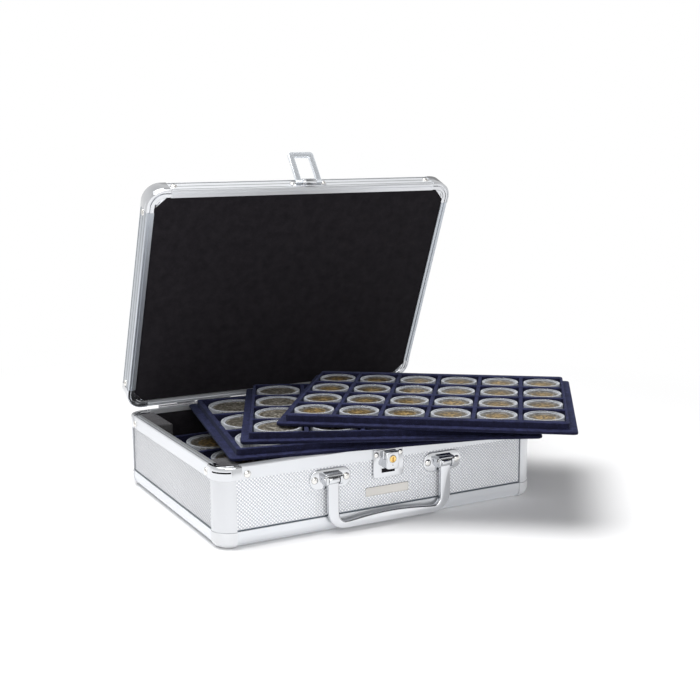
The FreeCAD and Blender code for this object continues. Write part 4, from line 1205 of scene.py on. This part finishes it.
def addLamp(name, place, aim, size, power):
    pickNone()
    bpy.ops.object.light_add(type="AREA", location=place)
    lamp = bpy.context.object
    lamp.name = name
    lamp.data.shape = "RECTANGLE"
    lamp.data.size, lamp.data.size_y = size
    lamp.data.energy = power
    lamp.rotation_euler = (Vector(aim) - Vector(place)).to_track_quat("-Z", "Y").to_euler()


def addFloor():
    # Paper that is white to the camera far from the case, and holds the shadow near it; for glossy rays it also glows
    # faintly all over, a painted reflection that brightens the floor seen in the metal
    pickNone()
    bpy.ops.mesh.primitive_plane_add(size=12, location=(0, 0, -0.0002))
    floor = bpy.context.object
    floor.name = "studioFloor"
    bpy.ops.object.transform_apply(location=True, rotation=True, scale=True)
    material, tree, shader = startMaterial("floorPaper", Base_Color=(0.92, 0.92, 0.925), Roughness=0.8,
                                           Specular_IOR_Level=0.0, Emission_Color=(1, 1, 1))
    white = addNode(tree, "ShaderNodeEmission")
    path = addNode(tree, "ShaderNodeLightPath")
    mirrored = path.outputs["Is Glossy Ray"]
    seen = maths(tree, "MAXIMUM", path.outputs["Is Camera Ray"], mirrored)
    seen = maths(tree, "MAXIMUM", seen, path.outputs["Is Transmission Ray"])
    distance = addNode(tree, "ShaderNodeVectorMath", operation="LENGTH")
    tree.links.new(objectPlace(tree), distance.inputs[0])
    # Painted reflection: a faint glow seen only by glossy rays
    tree.links.new(maths(tree, "MULTIPLY", mirrored, 0.3), shader.inputs["Emission Strength"])
    far = spreadRange(tree, distance.outputs["Value"], 0.34, 0.68, smooth=True)
    mix = addNode(tree, "ShaderNodeMixShader")
    tree.links.new(maths(tree, "MULTIPLY", seen, far), mix.inputs[0])
    tree.links.new(shader.outputs[0], mix.inputs[1])
    tree.links.new(white.outputs[0], mix.inputs[2])
    tree.links.new(mix.outputs[0], tree.nodes["Material Output"].inputs["Surface"])
    floor.data.materials.append(material)


room = {"fill": 0.23, "ceiling": 0.8, "dark": 0.3, "darkSide": (0.1, -0.62, 0.78), "farDark": 0.35,
        "farSide": (0.55, 0.82, 0.16)}


def lightWorld():
    world = bpy.data.worlds.new("studio")
    bpy.context.scene.world = world
    world.use_nodes = True
    tree = world.node_tree
    back = tree.nodes["Background"]
    path = addNode(tree, "ShaderNodeLightPath")
    seen = maths(tree, "MAXIMUM", path.outputs["Is Camera Ray"], path.outputs["Is Transmission Ray"])
    # Metal sees the white paper all round, a dim ceiling and two dark sides of the room
    way = tree.nodes.new("ShaderNodeTexCoord").outputs["Generated"]
    toward, away = (reachAlong(tree, way, room[side]) for side in ("darkSide", "farSide"))
    ceiling = spreadRange(tree, splitParts(tree, way)[2], 0.35, 0.85, 1.0, room["ceiling"], smooth=True)
    dark = spreadRange(tree, toward, 0.68, 0.88, 1.0, room["dark"], smooth=True)
    farDark = spreadRange(tree, away, 0.86, 0.97, 1.0, room["farDark"], smooth=True)
    mirrored = maths(tree, "MULTIPLY", maths(tree, "MULTIPLY", ceiling, dark), farDark)
    around = spreadRange(tree, path.outputs["Is Glossy Ray"], 0.0, 1.0, room["fill"], mirrored)
    back.inputs["Color"].default_value = (1, 1, 1, 1)
    tree.links.new(spreadRange(tree, seen, 0.0, 1.0, around, 1.0), back.inputs["Strength"])


addCamera()
addLamp("keyPanel", (-0.56, 0.1, 1.8), (0, 0, 0.1), (1.2, 1.2), 24)
addLamp("frontPanel", (-0.5, -2.0, 1.0), (0, 0, 0.1), (2.2, 1.4), 23)
addLamp("topPanel", (-0.25, 0.15, 1.7), (0, 0, 0.1), (1.4, 1.2), 13)
addFloor()
lightWorld()
bpy.context.scene.view_settings.view_transform = "Standard"
print("camera, lamps and floor set")
